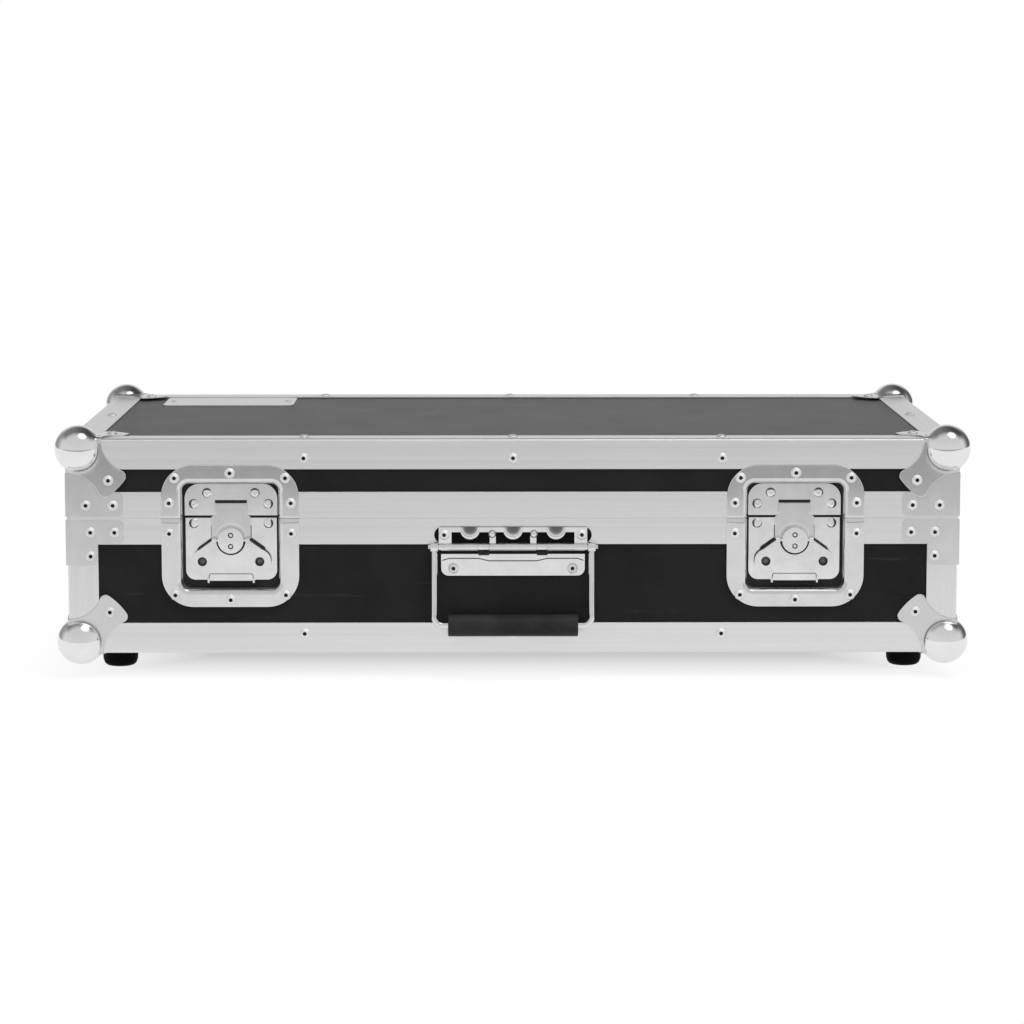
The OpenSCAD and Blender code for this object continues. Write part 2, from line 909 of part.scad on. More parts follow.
module keeper(side) {
    color("lightgray") at_latch(side) {
        sheet(plate_at, floor_at) difference() {
            translate([-keeper_half, keeper_low])
                square([2 * keeper_half, keeper_top - keeper_low]);
            for (m = [0, 1]) {
                mirror([m, 0]) translate([keeper_half, keeper_top]) rotate(180)
                    corner_nip(keeper_r);
            }
            translate([-slot_half, slot_low]) square([2 * slot_half, slot_high - slot_low]);
        }
        for (s = [-1, 1]) {
            translate([s * keeper_rivet_x, plate_at, keeper_rivet_z]) rotate([90, 0, 0]) rivet();
            translate([s * side_rivet_x, plate_at, keeper_side_rivet_z]) rotate([90, 0, 0]) rivet();
        }
    }
}

// The hook, from the cam's axis: a wide plate with a guide slot and a narrower nose
hook_half = 16;
hook_shoulder = 20;
nose_half = 13.4;
nose_top = 29.5;
hook_low = 20;
nose_t = 0.6;
hook_corner_r = 2;

module hook_outline() {
    difference() {
        union() {
            translate([-hook_half, -hook_low])
                round_plate(2 * hook_half, hook_low + hook_shoulder, hook_corner_r);
            translate([-nose_half, 0]) round_plate(2 * nose_half, nose_top, hook_corner_r);
        }
        slot_w = post_r + slide_gap;
        circle(slot_w);
        translate([0, -hook_lift]) circle(slot_w);
        translate([-slot_w, -hook_lift]) square([2 * slot_w, hook_lift]);
    }
}

module latch_hook(side) {
    color("lightgray") at_latch(side) translate([0, 0, -pivot_drop]) {
        sheet(hook_at, hook_at + hook_t) hook_outline();
        sheet(hook_at - nose_t, hook_at + hook_t / 2)
            translate([-nose_half, hook_shoulder + hook_corner_r])
            round_plate(2 * nose_half, nose_top - hook_shoulder - hook_corner_r, hook_corner_r);
    }
}

// The cam: a dimpled disc, its post, a riveted tail behind the dish and the wing's cross pin
dimple_r = 2.2;
dimple_deep = 0.9;
dimple_at = 4.6;
knuckle_out = 15.4;

module latch_cam(side) {
    color("silver") at_latch(side) translate([0, 0, -pivot_drop]) {
        difference() {
            union() {
                turned(disc_at, disc_back, disc_r);
                turned(disc_at, pocket_d + run_gap + tail_t, post_r);
                turned(pocket_d + run_gap, pocket_d + run_gap + tail_t, tail_r);
                translate([-knuckle_out, trunnion_at, 0]) rotate([0, 90, 0])
                    cylinder(h = 2 * knuckle_out, r = trunnion_r);
            }
            for (s = [-1, 1]) {
                translate([0, 0, s * dimple_at]) turned(disc_at - overrun, disc_at + dimple_deep, dimple_r);
            }
        }
    }
}

// The butterfly wing: two lobes with finger holes, a bottom tab, and knuckles beside the disc
wing_shoulder_z = -0.5;
wing_shoulder_r = 2.05;
wing_low_x = 18;
wing_low_z = 30;
wing_low_r = 3;
tab_half = 17;
tab_h = 5.4;
tab_t = 0.6;
wing_disc_gap = 1.6;
finger_x = 23.4;
finger_z = 17.4;

module wing_outline() {
    difference() {
        belt([[-lobe_x, -lobe_z, lobe_r], [-wing_low_x, -wing_low_z, wing_low_r],
            [wing_low_x, -wing_low_z, wing_low_r], [lobe_x, -lobe_z, lobe_r],
            [knuckle_out - knuckle_r, wing_shoulder_z, wing_shoulder_r],
            [knuckle_r - knuckle_out, wing_shoulder_z, wing_shoulder_r]]);
        circle(disc_r + wing_disc_gap);
        translate([-disc_r - wing_disc_gap, 0]) square(2 * (disc_r + wing_disc_gap));
        for (s = [-1, 1]) {
            translate([s * finger_x, -finger_z]) circle(finger_r);
        }
    }
}

module latch_wing(side) {
    tab_low = wing_low_z + wing_low_r;
    color("silver") at_latch(side) translate([0, 0, -pivot_drop]) {
        difference() {
            union() {
                sheet(wing_at, wing_at + hook_t) wing_outline();
                sheet(wing_at - tab_t, wing_at + hook_t / 2) translate([-tab_half, -tab_low])
                    round_plate(2 * tab_half, tab_h, tab_t);
                for (m = [0, 1]) {
                    mirror([m, 0, 0]) translate([disc_r + wing_disc_gap, trunnion_at, 0])
                        rotate([0, 90, 0])
                        cylinder(h = knuckle_out - disc_r - wing_disc_gap, r = knuckle_r);
                }
            }
            translate([-knuckle_out - overrun, trunnion_at, 0]) rotate([0, 90, 0])
                cylinder(h = 2 * (knuckle_out + overrun), r = trunnion_r + run_gap);
        }
    }
}

// Moves a handle part from the height of its rod, on the edging's front face
module at_handle() {
    in_case() translate([0, -case_d / 2, rod_z]) children();
}

// Sizes of the plates that hold the handle's rod
pad_half = bail_x;
pad_h = 13.2;
pad_z = 9.4;
pad_t = 1.5;
leaf_plate_t = 1.5;
tongue_r = 8;
tongue_pitch = 35;
tongue_low = 6.1;
strip_h = 4;
eye_r = 4.2;
eye_w = 6;
strip_half = bail_x - eye_w / 2 - 2 * slide_gap;
leaf_web_x = 16.5;
leaf_web_w = 5;
leaf_ear_w = 10.4;
rod_barrel_r = 3;
tab_in = 19.4;
tab_out = 28.2;
pad_rivet_in = 8;
pad_rivet_z = 9.8;

module handle_backing() {
    r = pad_h / 2;
    color("black") at_handle() sheet(-pad_t, 0)
        belt([[r - pad_half, pad_z, r], [pad_half - r, pad_z, r]]);
}

module along_x(from, to, r) {
    translate([from, -rod_out, 0]) rotate([0, 90, 0]) cylinder(h = to - from, r = r);
}

module handle_leaf() {
    top = pad_z + pad_h / 2;
    color("gainsboro") at_handle() difference() {
        union() {
            sheet(-pad_t - leaf_plate_t, -pad_t) {
                translate([-strip_half, top - strip_h]) square([2 * strip_half, strip_h]);
                intersection() {
                    for (x = [-1, 0, 1] * tongue_pitch) {
                        translate([x, tongue_low + tongue_r]) circle(tongue_r);
                    }
                    translate([-strip_half, 0]) square([2 * strip_half, top]);
                }
                for (s = [-1, 1]) {
                    translate([s * leaf_web_x - leaf_web_w / 2, 0]) square([leaf_web_w, top]);
                }
                for (m = [0, 1]) {
                    mirror([m, 0]) translate([strip_half - leaf_ear_w, 0])
                        square([leaf_ear_w, top]);
                }
            }
            along_x(-tab_in + slide_gap, tab_in - slide_gap, rod_barrel_r);
            for (m = [0, 1]) {
                mirror([m, 0, 0]) along_x(tab_out + slide_gap, strip_half, rod_barrel_r);
            }
        }
        along_x(-pad_half, pad_half, rod_r + run_gap);
    }
}

// Sizes of the lower plate, seen from the rod
plate_end = 5.5;
plate_half = bail_x - plate_end;
plate_low = -24.1;
plate_top = -6.2;
plate_r = 6;
crease_out = -9.6;
crease_in = -11.6;
crease_t = 0.8;
plate_rivet_in = 10;
plate_rivet_z = -18.1;
rod_past = 5;

module handle_hinge_plate() {
    color("gainsboro") at_handle() difference() {
        union() {
            sheet(0, wall) difference() {
                translate([-plate_half, plate_low])
                    square([2 * plate_half, plate_top - plate_low]);
                for (m = [0, 1]) {
                    mirror([m, 0]) translate([-plate_half, plate_low]) corner_nip(plate_r);
                }
            }
            sheet(-crease_t, 0) polygon([[-plate_half, plate_top], [-plate_half, crease_in],
                [-plate_half + plate_r, crease_out], [-tab_out, crease_out],
                [-tab_in, crease_in], [tab_in, crease_in], [tab_out, crease_out],
                [plate_half - plate_r, crease_out], [plate_half, crease_in],
                [plate_half, plate_top]]);
            for (m = [0, 1]) {
                mirror([m, 0, 0]) translate([tab_in, 0, 0]) rotate([90, 0, 90])
                    linear_extrude(tab_out - tab_in)
                    belt([[-rod_out, 0, rod_barrel_r],
                        [wall - leaf_plate_t / 2, plate_top - wall, leaf_plate_t / 2]]);
            }
        }
        along_x(-pad_half, pad_half, rod_r + run_gap);
    }
}

module handle_axle() {
    color("lightgray") at_handle() along_x(-bail_x - rod_past, bail_x + rod_past, rod_r);
}

module handle_rivets() {
    for (s = [-1, 1]) {
        front_rivet(s * (pad_half - pad_rivet_in), rod_z + pad_rivet_z, pad_t + leaf_plate_t);
        front_rivet(s * (plate_half - plate_rivet_in), rod_z + plate_rivet_z);
    }
}

// Moves a bail part from the rod's axis, with the bail hanging straight down
module at_rod() {
    at_handle() translate([0, -rod_out, 0]) rotate([-bail_lean, 0, 0]) children();
}

module handle_bail() {
    color("gainsboro") at_rod() difference() {
        union() {
            for (m = [0, 1]) {
                mirror([m, 0, 0]) {
                    translate([bail_x - eye_w / 2, 0, 0]) rotate([0, 90, 0])
                        cylinder(h = eye_w, r = eye_r);
                    translate([bail_x, 0, bend_r - bail_drop])
                        cylinder(h = bail_drop - bend_r, r = wire_r);
                    translate([bail_x - bend_r, 0, bend_r - bail_drop]) rotate([90, 0, 0])
                        rotate([0, 0, -90]) rotate_extrude(angle = 90)
                        translate([bend_r, 0]) circle(wire_r);
                }
            }
            translate([bend_r - bail_x, 0, -bail_drop]) rotate([0, 90, 0])
                cylinder(h = 2 * (bail_x - bend_r), r = wire_r);
        }
        translate([-bail_x - eye_w, 0, 0]) rotate([0, 90, 0])
            cylinder(h = 2 * (bail_x + eye_w), r = rod_r + run_gap);
    }
}

module handle_grip() {
    color("black") at_rod() translate([-grip_len / 2, 0, -bail_drop]) rotate([0, 90, 0])
        difference() {
            cylinder(h = grip_len, r = grip_r);
            translate([0, 0, -overrun]) cylinder(h = grip_len + 2 * overrun, r = wire_r + run_gap);
        }
}

// Moves a hinge part from the split on the back face, with its first axis pointing outwards
module at_hinges() {
    for (side = [-1, 1]) {
        in_case() translate([side * hinge_at, case_d / 2, base_h]) children();
    }
}

// A stretch of a hinge, from its section, centred on x
module hinge_run(x, len) {
    translate([x, 0, 0]) run_x(len) children();
}

// The barrel with the arm that joins it to a leaf, above the pin or, with up = -1, below it
module barrel_section(up, arm_in) {
    translate([pin_out, -pin_drop]) {
        circle(barrel_r);
        mirror([0, up > 0 ? 0 : 1]) translate([arm_in - pin_out, 0])
            square([leaf_t + slide_gap - arm_in, pin_drop + leaf_t + overrun]);
    }
}

// A leaf starts clear of the other leaf's barrel
leaf_start = sqrt(pow(barrel_r + 2 * slide_gap, 2) - pow(pin_out - leaf_t, 2));

module leaf_section(up) {
    translate([0, -pin_drop]) mirror([0, up > 0 ? 0 : 1]) translate([0, leaf_start])
        square([leaf_t, leaf_h]);
}

module pin_bore() {
    translate([-hinge_len, pin_out, -pin_drop]) rotate([0, 90, 0])
        cylinder(h = 2 * hinge_len, r = pin_r + run_gap);
}

module base_hinge_leaves() {
    color("silver") at_hinges() difference() {
        union() {
            hinge_run(0, hinge_len) leaf_section(-1);
            for (s = [-1, 1]) {
                hinge_run(s * hinge_step, hinge_step - slide_gap) barrel_section(-1, 0);
            }
        }
        pin_bore();
    }
}

module lid_hinge_leaves() {
    color("silver") at_hinges() difference() {
        union() {
            hinge_run(0, hinge_len) leaf_section(1);
            hinge_run(0, hinge_step - slide_gap) barrel_section(1, slide_gap);
        }
        pin_bore();
    }
}

pin_head_t = 1.2;

module hinge_pins() {
    color("gray") at_hinges() translate([-hinge_len / 2, pin_out, -pin_drop]) rotate([0, 90, 0]) {
        cylinder(h = hinge_len, r = pin_r);
        translate([0, 0, -pin_head_t]) cylinder(h = pin_head_t, r = barrel_r);
        translate([0, 0, hinge_len]) cylinder(h = pin_head_t, r = barrel_r);
    }
}

base_bottom_panel();
base_front_panel();
base_back_panel();
base_left_panel();
base_right_panel();
base_front_edge();
base_back_edge();
base_left_edge();
base_right_edge();
base_uprights();
base_rim_front();
base_rim_back();
base_rim_left();
base_rim_right();
base_ball_corners();
base_corner_braces();
base_foam();
base_rivets();
feet();
base_hinge_leaves();
hinge_pins();
handle_backing();
handle_leaf();
handle_hinge_plate();
handle_axle();
handle_bail();
handle_grip();
latch_dish(-1);  // left_latch_dish
latch_base_plate(-1);  // left_latch_base_plate
latch_cam(-1);  // left_latch_cam
latch_wing(-1);  // left_latch_wing
latch_hook(-1);  // left_latch_hook
keeper_dish(-1);  // left_keeper_dish
keeper(-1);  // left_keeper
latch_dish(1);  // right_latch_dish
latch_base_plate(1);  // right_latch_base_plate
latch_cam(1);  // right_latch_cam
latch_wing(1);  // right_latch_wing
latch_hook(1);  // right_latch_hook
keeper_dish(1);  // right_keeper_dish
keeper(1);  // right_keeper
lid_top_panel();
lid_front_panel();
lid_back_panel();
lid_left_panel();
lid_right_panel();
lid_front_edge();
lid_back_edge();
lid_left_edge();
lid_right_edge();
lid_uprights();
lid_rim_front();
lid_rim_back();
lid_rim_left();
lid_rim_right();
lid_ball_corners();
lid_corner_braces();
lid_foam();
lid_rivets();
lid_hinge_leaves();
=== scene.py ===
import math

import bmesh
import bpy
import numpy as np
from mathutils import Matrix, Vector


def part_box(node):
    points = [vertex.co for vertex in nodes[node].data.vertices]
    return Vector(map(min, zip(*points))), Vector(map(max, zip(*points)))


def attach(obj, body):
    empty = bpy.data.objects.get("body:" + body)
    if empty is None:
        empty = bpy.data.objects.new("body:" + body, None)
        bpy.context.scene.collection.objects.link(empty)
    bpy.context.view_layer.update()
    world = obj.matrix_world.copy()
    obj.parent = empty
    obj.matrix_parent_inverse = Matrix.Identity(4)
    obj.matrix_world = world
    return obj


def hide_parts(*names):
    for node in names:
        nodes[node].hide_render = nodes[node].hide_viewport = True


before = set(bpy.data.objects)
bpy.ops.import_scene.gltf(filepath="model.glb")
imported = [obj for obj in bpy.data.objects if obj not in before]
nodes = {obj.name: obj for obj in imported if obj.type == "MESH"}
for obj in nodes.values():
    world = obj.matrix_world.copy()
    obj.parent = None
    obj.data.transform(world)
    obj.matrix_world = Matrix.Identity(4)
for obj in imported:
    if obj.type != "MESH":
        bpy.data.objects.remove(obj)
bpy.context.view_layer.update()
scene = bpy.context.scene

# Camera: the photograph was taken from the front and a little above the lid, through a long lens.
# The camera stands that far before the edging's outer face and looks slightly down and across it.
front_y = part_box("base_front_edge")[0][1]
camera_across, camera_distance, camera_height = -0.0202, 2.78, 0.4845
camera_tilt, camera_turn = 7.136, -0.40
lens_length, film_width = 121.1, 36.0
view_data = bpy.data.cameras.new("photo_view")
view_data.sensor_width = film_width
view_data.lens = lens_length
view = bpy.data.objects.new("photo_view", view_data)
view.location = (camera_across, front_y - camera_distance, camera_height)
view.rotation_euler = (math.radians(90.0 - camera_tilt), 0.0, math.radians(camera_turn))
scene.collection.objects.link(view)
scene.camera = view

# Floor: white paper, on which the case stands. The camera and the metal see it white, and it takes
# the light only under the case, which leaves a soft shadow there. In the metal, a strip of grey
# studio floor also shows, from a metre before the case.
floor_half = 9.0
paper_white, paper_in_metal = 0.8, 0.9
strip_grey = 0.4
grey_from, grey_full, grey_until, white_again = [front_y - far for far in (0.92, 1.38, 3.0, 7.0)]
shadow_depth, shadow_from, shadow_full = 0.42, -0.09, 0.11
floor_corners = [(x * floor_half, y * floor_half, 0.0)
                 for x, y in ((-1, -1), (1, -1), (1, 1), (-1, 1))]
floor_mesh = bpy.data.meshes.new("floor")
floor_mesh.from_pydata(floor_corners, [], [(0, 1, 2, 3)])
floor = bpy.data.objects.new("floor", floor_mesh)
scene.collection.objects.link(floor)


def add(tree, kind, inputs=(), **options):
    """Adds one shader node: options are its settings, and inputs are filled, or linked where the
    value is another node's socket. Returns the node's outputs."""
    made = tree.nodes.new("ShaderNode" + kind)
    for key, value in options.items():
        setattr(made, key, value)
    for key, value in dict(inputs).items():
        socket = made.inputs[key]
        if isinstance(value, bpy.types.NodeSocket):
            tree.links.new(value, socket)
        else:
            socket.default_value = value
    return made.outputs


def product(tree, first, second):
    """The product of two values."""
    return add(tree, "Math", {0: first, 1: second}, operation="MULTIPLY")[0]


def remap(tree, value, low, high, to_low, to_high, curve="LINEAR"):
    """Carries a value from one range into another, and no further."""
    return add(tree, "MapRange", {"Value": value, "From Min": low, "From Max": high,
                                  "To Min": to_low, "To Max": to_high}, interpolation_type=curve)[0]


paper = bpy.data.materials.new("white_paper")
paper.use_nodes = True
tree = paper.node_tree
tree.nodes.clear()
rays = add(tree, "LightPath")
where = add(tree, "TexCoord")["Object"]
in_metal = add(tree, "Math", {0: rays["Is Glossy Ray"], 1: rays["Is Transmission Ray"]},
               operation="ADD", use_clamp=True)[0]
seen = add(tree, "Math", {0: rays["Is Camera Ray"], 1: in_metal},
           operation="ADD", use_clamp=True)[0]
case_half = (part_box("base_right_edge")[1][0], -front_y, 0.0)
from_middle = add(tree, "VectorMath", {0: where}, operation="ABSOLUTE")[0]
inside = add(tree, "VectorMath", {0: case_half, 1: from_middle}, operation="SUBTRACT")[0]
inside = add(tree, "SeparateXYZ", {0: inside})
under = add(tree, "Math", {0: inside["X"], 1: inside["Y"]}, operation="MINIMUM")[0]
deep = remap(tree, under, shadow_from, shadow_full, 0.0, 1.0)
shaded = product(tree, product(tree, deep, deep), shadow_depth)
lit = add(tree, "BsdfDiffuse", {"Color": (paper_white, paper_white, paper_white, 1.0)})[0]
glow = remap(tree, in_metal, 0.0, 1.0, 1.0, paper_in_metal)
white = add(tree, "Emission", {"Strength": glow})[0]
sheet = add(tree, "MixShader", {0: shaded, 1: white, 2: lit})[0]
sheet = add(tree, "MixShader", {0: seen, 1: lit, 2: sheet})[0]
forward = add(tree, "SeparateXYZ", {0: where})["Y"]
strip = product(tree, remap(tree, forward, grey_from, grey_full, 0.0, 1.0, "SMOOTHSTEP"),
                remap(tree, forward, grey_until, white_again, 1.0, 0.0, "SMOOTHSTEP"))
strip = product(tree, strip, in_metal)
grey = add(tree, "Emission", {"Strength": strip_grey})[0]
sheet = add(tree, "MixShader", {0: strip, 1: sheet, 2: grey})[0]
add(tree, "OutputMaterial", {"Surface": sheet})
floor_mesh.materials.append(paper)

# Studio: a tent of white cloth whose roof is darker to the back, a dark flag behind either side, and
# one soft lamp overhead, a little in front and to the right. The metal shows all of it, the lamp as
# a white patch on the balls. A direction's parts run from -1 to 1 across, to the back and up.
tent_front, tent_back, tent_middle = 0.86, 0.92, (-0.5, 0.1)
front_rise = 0.42
roof_front, roof_left, roof_right = 0.82, 0.24, 0.08
roof_across, roof_middle, roof_edge = (-0.3, 0.3), (-0.4, 0.15), (0.38, 0.75)
flag_left, flag_right = 0.42, 0.16
flag_across, flag_behind, flag_aside = (-0.2, 0.2), (-0.1, 0.45), (0.3, 0.6)
lamp_toward = (0.3, -0.25, 0.92)
lamp_inner, lamp_outer, lamp_level, lamp_in_metal = 4.0, 20.0, 13.0, 1.7
world = bpy.data.worlds.new("studio")
world.use_nodes = True
scene.world = world
tree = world.node_tree
tree.nodes.clear()
rays = add(tree, "LightPath")
toward = add(tree, "TexCoord")["Generated"]
parts = add(tree, "SeparateXYZ", {0: toward})
aside = add(tree, "Math", {0: parts["X"]}, operation="ABSOLUTE")[0]
flag = remap(tree, parts["X"], *flag_across, flag_left, flag_right)
flagged = product(tree, remap(tree, parts["Y"], *flag_behind, 0.0, 1.0),
                  remap(tree, aside, *flag_aside, 0.0, 1.0))
front = remap(tree, parts["Z"], 0.0, front_rise, tent_back, tent_front)
behind = remap(tree, parts["Y"], *tent_middle, 0.0, 1.0, "SMOOTHSTEP")
level = add(tree, "Mix", {0: behind, 2: front, 3: tent_back})[0]
level = add(tree, "Mix", {0: flagged, 2: level, 3: flag})[0]
roof = remap(tree, parts["X"], *roof_across, roof_left, roof_right)
behind = remap(tree, parts["Y"], *roof_middle, 0.0, 1.0, "SMOOTHSTEP")
roof = add(tree, "Mix", {0: behind, 2: roof_front, 3: roof})[0]
rise = remap(tree, parts["Z"], *roof_edge, 0.0, 1.0, "SMOOTHSTEP")
level = add(tree, "Mix", {0: rise, 2: level, 3: roof})[0]
facing = add(tree, "VectorMath", {0: toward, 1: lamp_toward}, operation="DOT_PRODUCT")["Value"]
lamp = remap(tree, facing, math.cos(math.radians(lamp_outer)), math.cos(math.radians(lamp_inner)),
             0.0, 1.0, "SMOOTHSTEP")
strength = remap(tree, rays["Is Glossy Ray"], 0.0, 1.0, lamp_level, lamp_in_metal)
lamp = product(tree, lamp, strength)
level = add(tree, "Math", {0: level, 1: lamp}, operation="ADD")[0]
room = add(tree, "Background", {"Strength": level})[0]
backdrop = add(tree, "Background", {"Color": (1, 1, 1, 1), "Strength": 1.0})[0]
choice = add(tree, "MixShader", {0: rays["Is Camera Ray"], 1: room, 2: backdrop})[0]
add(tree, "OutputWorld", {"Surface": choice})

# Panels: birch plywood faced with black phenolic laminate. The laminate has a fine pebbled grain
# that keeps it matt, with a few pale scuffs where the case has rubbed.
laminate_shades, laminate_rough, laminate_gloss = (0.015, 0.021), (0.32, 0.35), 0.05
scuff_grey, scuff_from, scuff_full, scuff_most = 0.05, 0.66, 0.74, 0.35
pebble_grains, mottle_grains, rub_grains, rub_draw = 1400.0, 22.0, 260.0, (0.06, 0.6, 0.6)
pebble_relief, pebble_height = 0.35, 0.0002
noise_low, noise_high = 0.3, 0.7


def start(name):
    """A new material: returns it, its tree and its Object coordinates."""
    made = bpy.data.materials.new(name)
    made.use_nodes = True
    made.node_tree.nodes.clear()
    return made, made.node_tree, add(made.node_tree, "TexCoord")["Object"]


def noise(tree, where, grains, detail=3.0, roughness=0.55, stretch=(1.0, 1.0, 1.0)):
    """Noise of so many grains a metre, drawn out along the axes whose stretch is small."""
    spread = add(tree, "Mapping", {"Vector": where, "Scale": stretch})
    return add(tree, "TexNoise", {"Vector": spread[0], "Scale": grains, "Detail": detail,
                                  "Roughness": roughness})[0]


def between(tree, pattern, low=0.0, high=1.0):
    """Carries the usual range of a noise into the range between two values."""
    return remap(tree, pattern, noise_low, noise_high, low, high)


def grey_of(level):
    """A neutral colour."""
    return (level, level, level * 1.01, 1.0)


def blend(tree, share, first, second):
    """Mixes two colours by a share. A bare number stands for its grey."""
    first, second = [grey_of(colour) if isinstance(colour, float) else colour
                     for colour in (first, second)]
    return add(tree, "Mix", {0: share, 6: first, 7: second}, data_type="RGBA")[2]


def bumps(tree, pattern, strength, height, under=None):
    """Relief from a pattern, on top of other relief where there is some under it."""
    inputs = {"Strength": strength, "Distance": height, "Height": pattern}
    if under is not None:
        inputs["Normal"] = under
    return add(tree, "Bump", inputs)[0]


def finish(made, tree, inputs):
    """Ends a material with its shader."""
    shader = add(tree, "BsdfPrincipled", inputs)
    add(tree, "OutputMaterial", {"Surface": shader[0]})
    return made


def dress(names, material):
    """Gives CAD nodes their material."""
    for name in names:
        mesh = nodes[name].data
        mesh.materials.clear()
        mesh.materials.append(material)


laminate, tree, where = start("black_laminate")
grain = noise(tree, where, pebble_grains, detail=2.0)
mottle = noise(tree, where, mottle_grains, detail=4.0)
rub = noise(tree, where, rub_grains, roughness=0.6, stretch=rub_draw)
scuff = remap(tree, rub, scuff_from, scuff_full, 0.0, scuff_most)
shade = blend(tree, between(tree, mottle), *laminate_shades)
shade = blend(tree, scuff, shade, scuff_grey)
pebbles = bumps(tree, grain, pebble_relief, pebble_height)
finish(laminate, tree, {"Base Color": shade, "Roughness": between(tree, mottle, *laminate_rough),
                        "Specular IOR Level": laminate_gloss, "Normal": pebbles})
dress([name for name in nodes if name.endswith("_panel")], laminate)

# Foam linings: charcoal foam, cut in strips and glued to the floor and the walls between the inner
# legs of the edging. The strips of the front wall stop round the latches' pockets. Outlines from
# here on are in millimetres from the middle of the front face's lower edge.
case_origin = np.array([0.0, front_y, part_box("base_front_edge")[0][2]])
half_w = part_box("base_right_edge")[1][0] * 1000.0
case_d = (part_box("base_back_edge")[1][1] - front_y) * 1000.0
split = (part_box("base_rim_front")[1][2] - case_origin[2]) * 1000.0
case_top = (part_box("lid_front_edge")[1][2] - case_origin[2]) * 1000.0
foam_wall, foam_floor, foam_round = 12.0, 15.0, 1.6
foam_out, foam_in, foam_below_rim = 8.5, 18.3, 16.3
latch_x = 230.0
pocket_gap_half, pocket_gap_base, pocket_gap_lid = 40.9, 59.9, 29.9
foam_shades, foam_rough, foam_gloss = (0.022, 0.042), 0.95, 0.1
pore_grains, fluff_grains = 700.0, 60.0
pore_black, pore_edge, pore_most, pore_relief, pore_height = 0.012, 0.5, 0.6, 0.6, 0.0006
meeting_gap = 0.000001


def faces_of(rows, columns, ring=False):
    """The four-cornered faces of a grid of points. A ring also joins its last column to its first."""
    index = np.arange(rows * columns).reshape(rows, columns)
    if ring:
        index = np.hstack([index, index[:, :1]])
    corners = np.stack([index[:-1, :-1], index[:-1, 1:], index[1:, 1:], index[1:, :-1]], axis=-1)
    return corners.reshape(-1, 4)


def piece_of(name, sheets, material, body, stands_for=(), angle=40.0):
    """One object from several sheets: a sheet is its points, its faces and a mark for each point.
    Points that meet are joined, and edges sharper than the angle stay sharp."""
    starts = np.cumsum([0] + [len(points) for points, faces, marks in sheets[:-1]])
    points = np.vstack([points for points, faces, marks in sheets]) * 0.001 + case_origin
    faces = np.vstack([faces + start for (points_, faces, marks), start in zip(sheets, starts)])
    marks = np.concatenate([marks for points_, faces_, marks in sheets])
    mesh = bpy.data.meshes.new(name)
    mesh.from_pydata(points.tolist(), [], faces.tolist())
    layer = mesh.attributes.new("mark", "FLOAT", "POINT")
    layer.data.foreach_set("value", marks.astype(np.float32))
    joined = bmesh.new()
    joined.from_mesh(mesh)
    bmesh.ops.remove_doubles(joined, verts=joined.verts, dist=meeting_gap)
    joined.to_mesh(mesh)
    joined.free()
    mesh.polygons.foreach_set("use_smooth", [True] * len(mesh.polygons))
    mesh.set_sharp_from_angle(angle=math.radians(angle))
    mesh.materials.append(material)
    piece = bpy.data.objects.new(name, mesh)
    scene.collection.objects.link(piece)
    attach(piece, body)
    if stands_for:
        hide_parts(*stands_for)
    return piece


def soft_block(low, high, radius, step=14.0):
    """A block with rounded edges and corners: each point of a box's skin is drawn in to the nearest
    point of a smaller box inside it, and pushed out again from there by the radius. The skin's
    lines lie a step apart, and closer within a radius of its edges."""
    low, high = np.array(low, float), np.array(high, float)
    near = radius * np.array([0.0, 0.12, 0.3, 0.6])
    sheets = []
    for axis in range(3):
        u, v = (axis + 1) % 3, (axis + 2) % 3
        lines = []
        for k in (u, v):
            count = max(2, int((high[k] - low[k]) / step))
            inner = np.linspace(low[k] + radius, high[k] - radius, count)
            lines.append(np.concatenate([low[k] + near, inner, (high[k] - near)[::-1]]))
        for outward, level in ((False, low[axis]), (True, high[axis])):
            grid = np.zeros((len(lines[1]), len(lines[0]), 3))
            grid[..., u] = lines[0][None, :]
            grid[..., v] = lines[1][:, None]
            grid[..., axis] = level
            core = np.clip(grid, low + radius, high - radius)
            out = grid - core
            grid = core + radius * out / np.linalg.norm(out, axis=-1, keepdims=True)
            faces = faces_of(*grid.shape[:2])
            faces = faces if outward else faces[:, ::-1]
            points = grid.reshape(-1, 3)
            sheets.append((points, faces, np.zeros(len(points))))
    return sheets


def lining(turned):
    """The blocks of foam in one half: a slab, three plain walls, and a front wall in four pieces. In
    the lid, heights are measured down from its top, so the blocks are turned over."""
    height = case_top - split if turned else split
    top = height - foam_below_rim
    step_up = height - (pocket_gap_lid if turned else pocket_gap_base)
    wall_in = foam_out + foam_wall
    side = half_w - foam_in
    blocks = [((-side, foam_in, foam_out), (side, case_d - foam_in, foam_out + foam_floor)),
              ((-side, case_d - wall_in, foam_in), (side, case_d - foam_out, top)),
              ((-side, foam_out, foam_in), (side, wall_in, step_up))]
    for sign in (-1, 1):
        ends = sorted((sign * (half_w - foam_out), sign * (half_w - wall_in)))
        blocks.append(((ends[0], wall_in, foam_in), (ends[1], case_d - wall_in, top)))
        ends = sorted((sign * side, sign * (latch_x + pocket_gap_half)))
        blocks.append(((ends[0], foam_out, step_up), (ends[1], wall_in, top)))
    middle = latch_x - pocket_gap_half
    blocks.append(((-middle, foam_out, step_up), (middle, wall_in, top)))
    sheets = []
    for low, high in blocks:
        for points, faces, marks in soft_block(low, high, foam_round):
            if turned:
                points = points * (1, 1, -1) + (0, 0, case_top)
                faces = faces[:, ::-1]
            sheets.append((points, faces, marks))
    return sheets


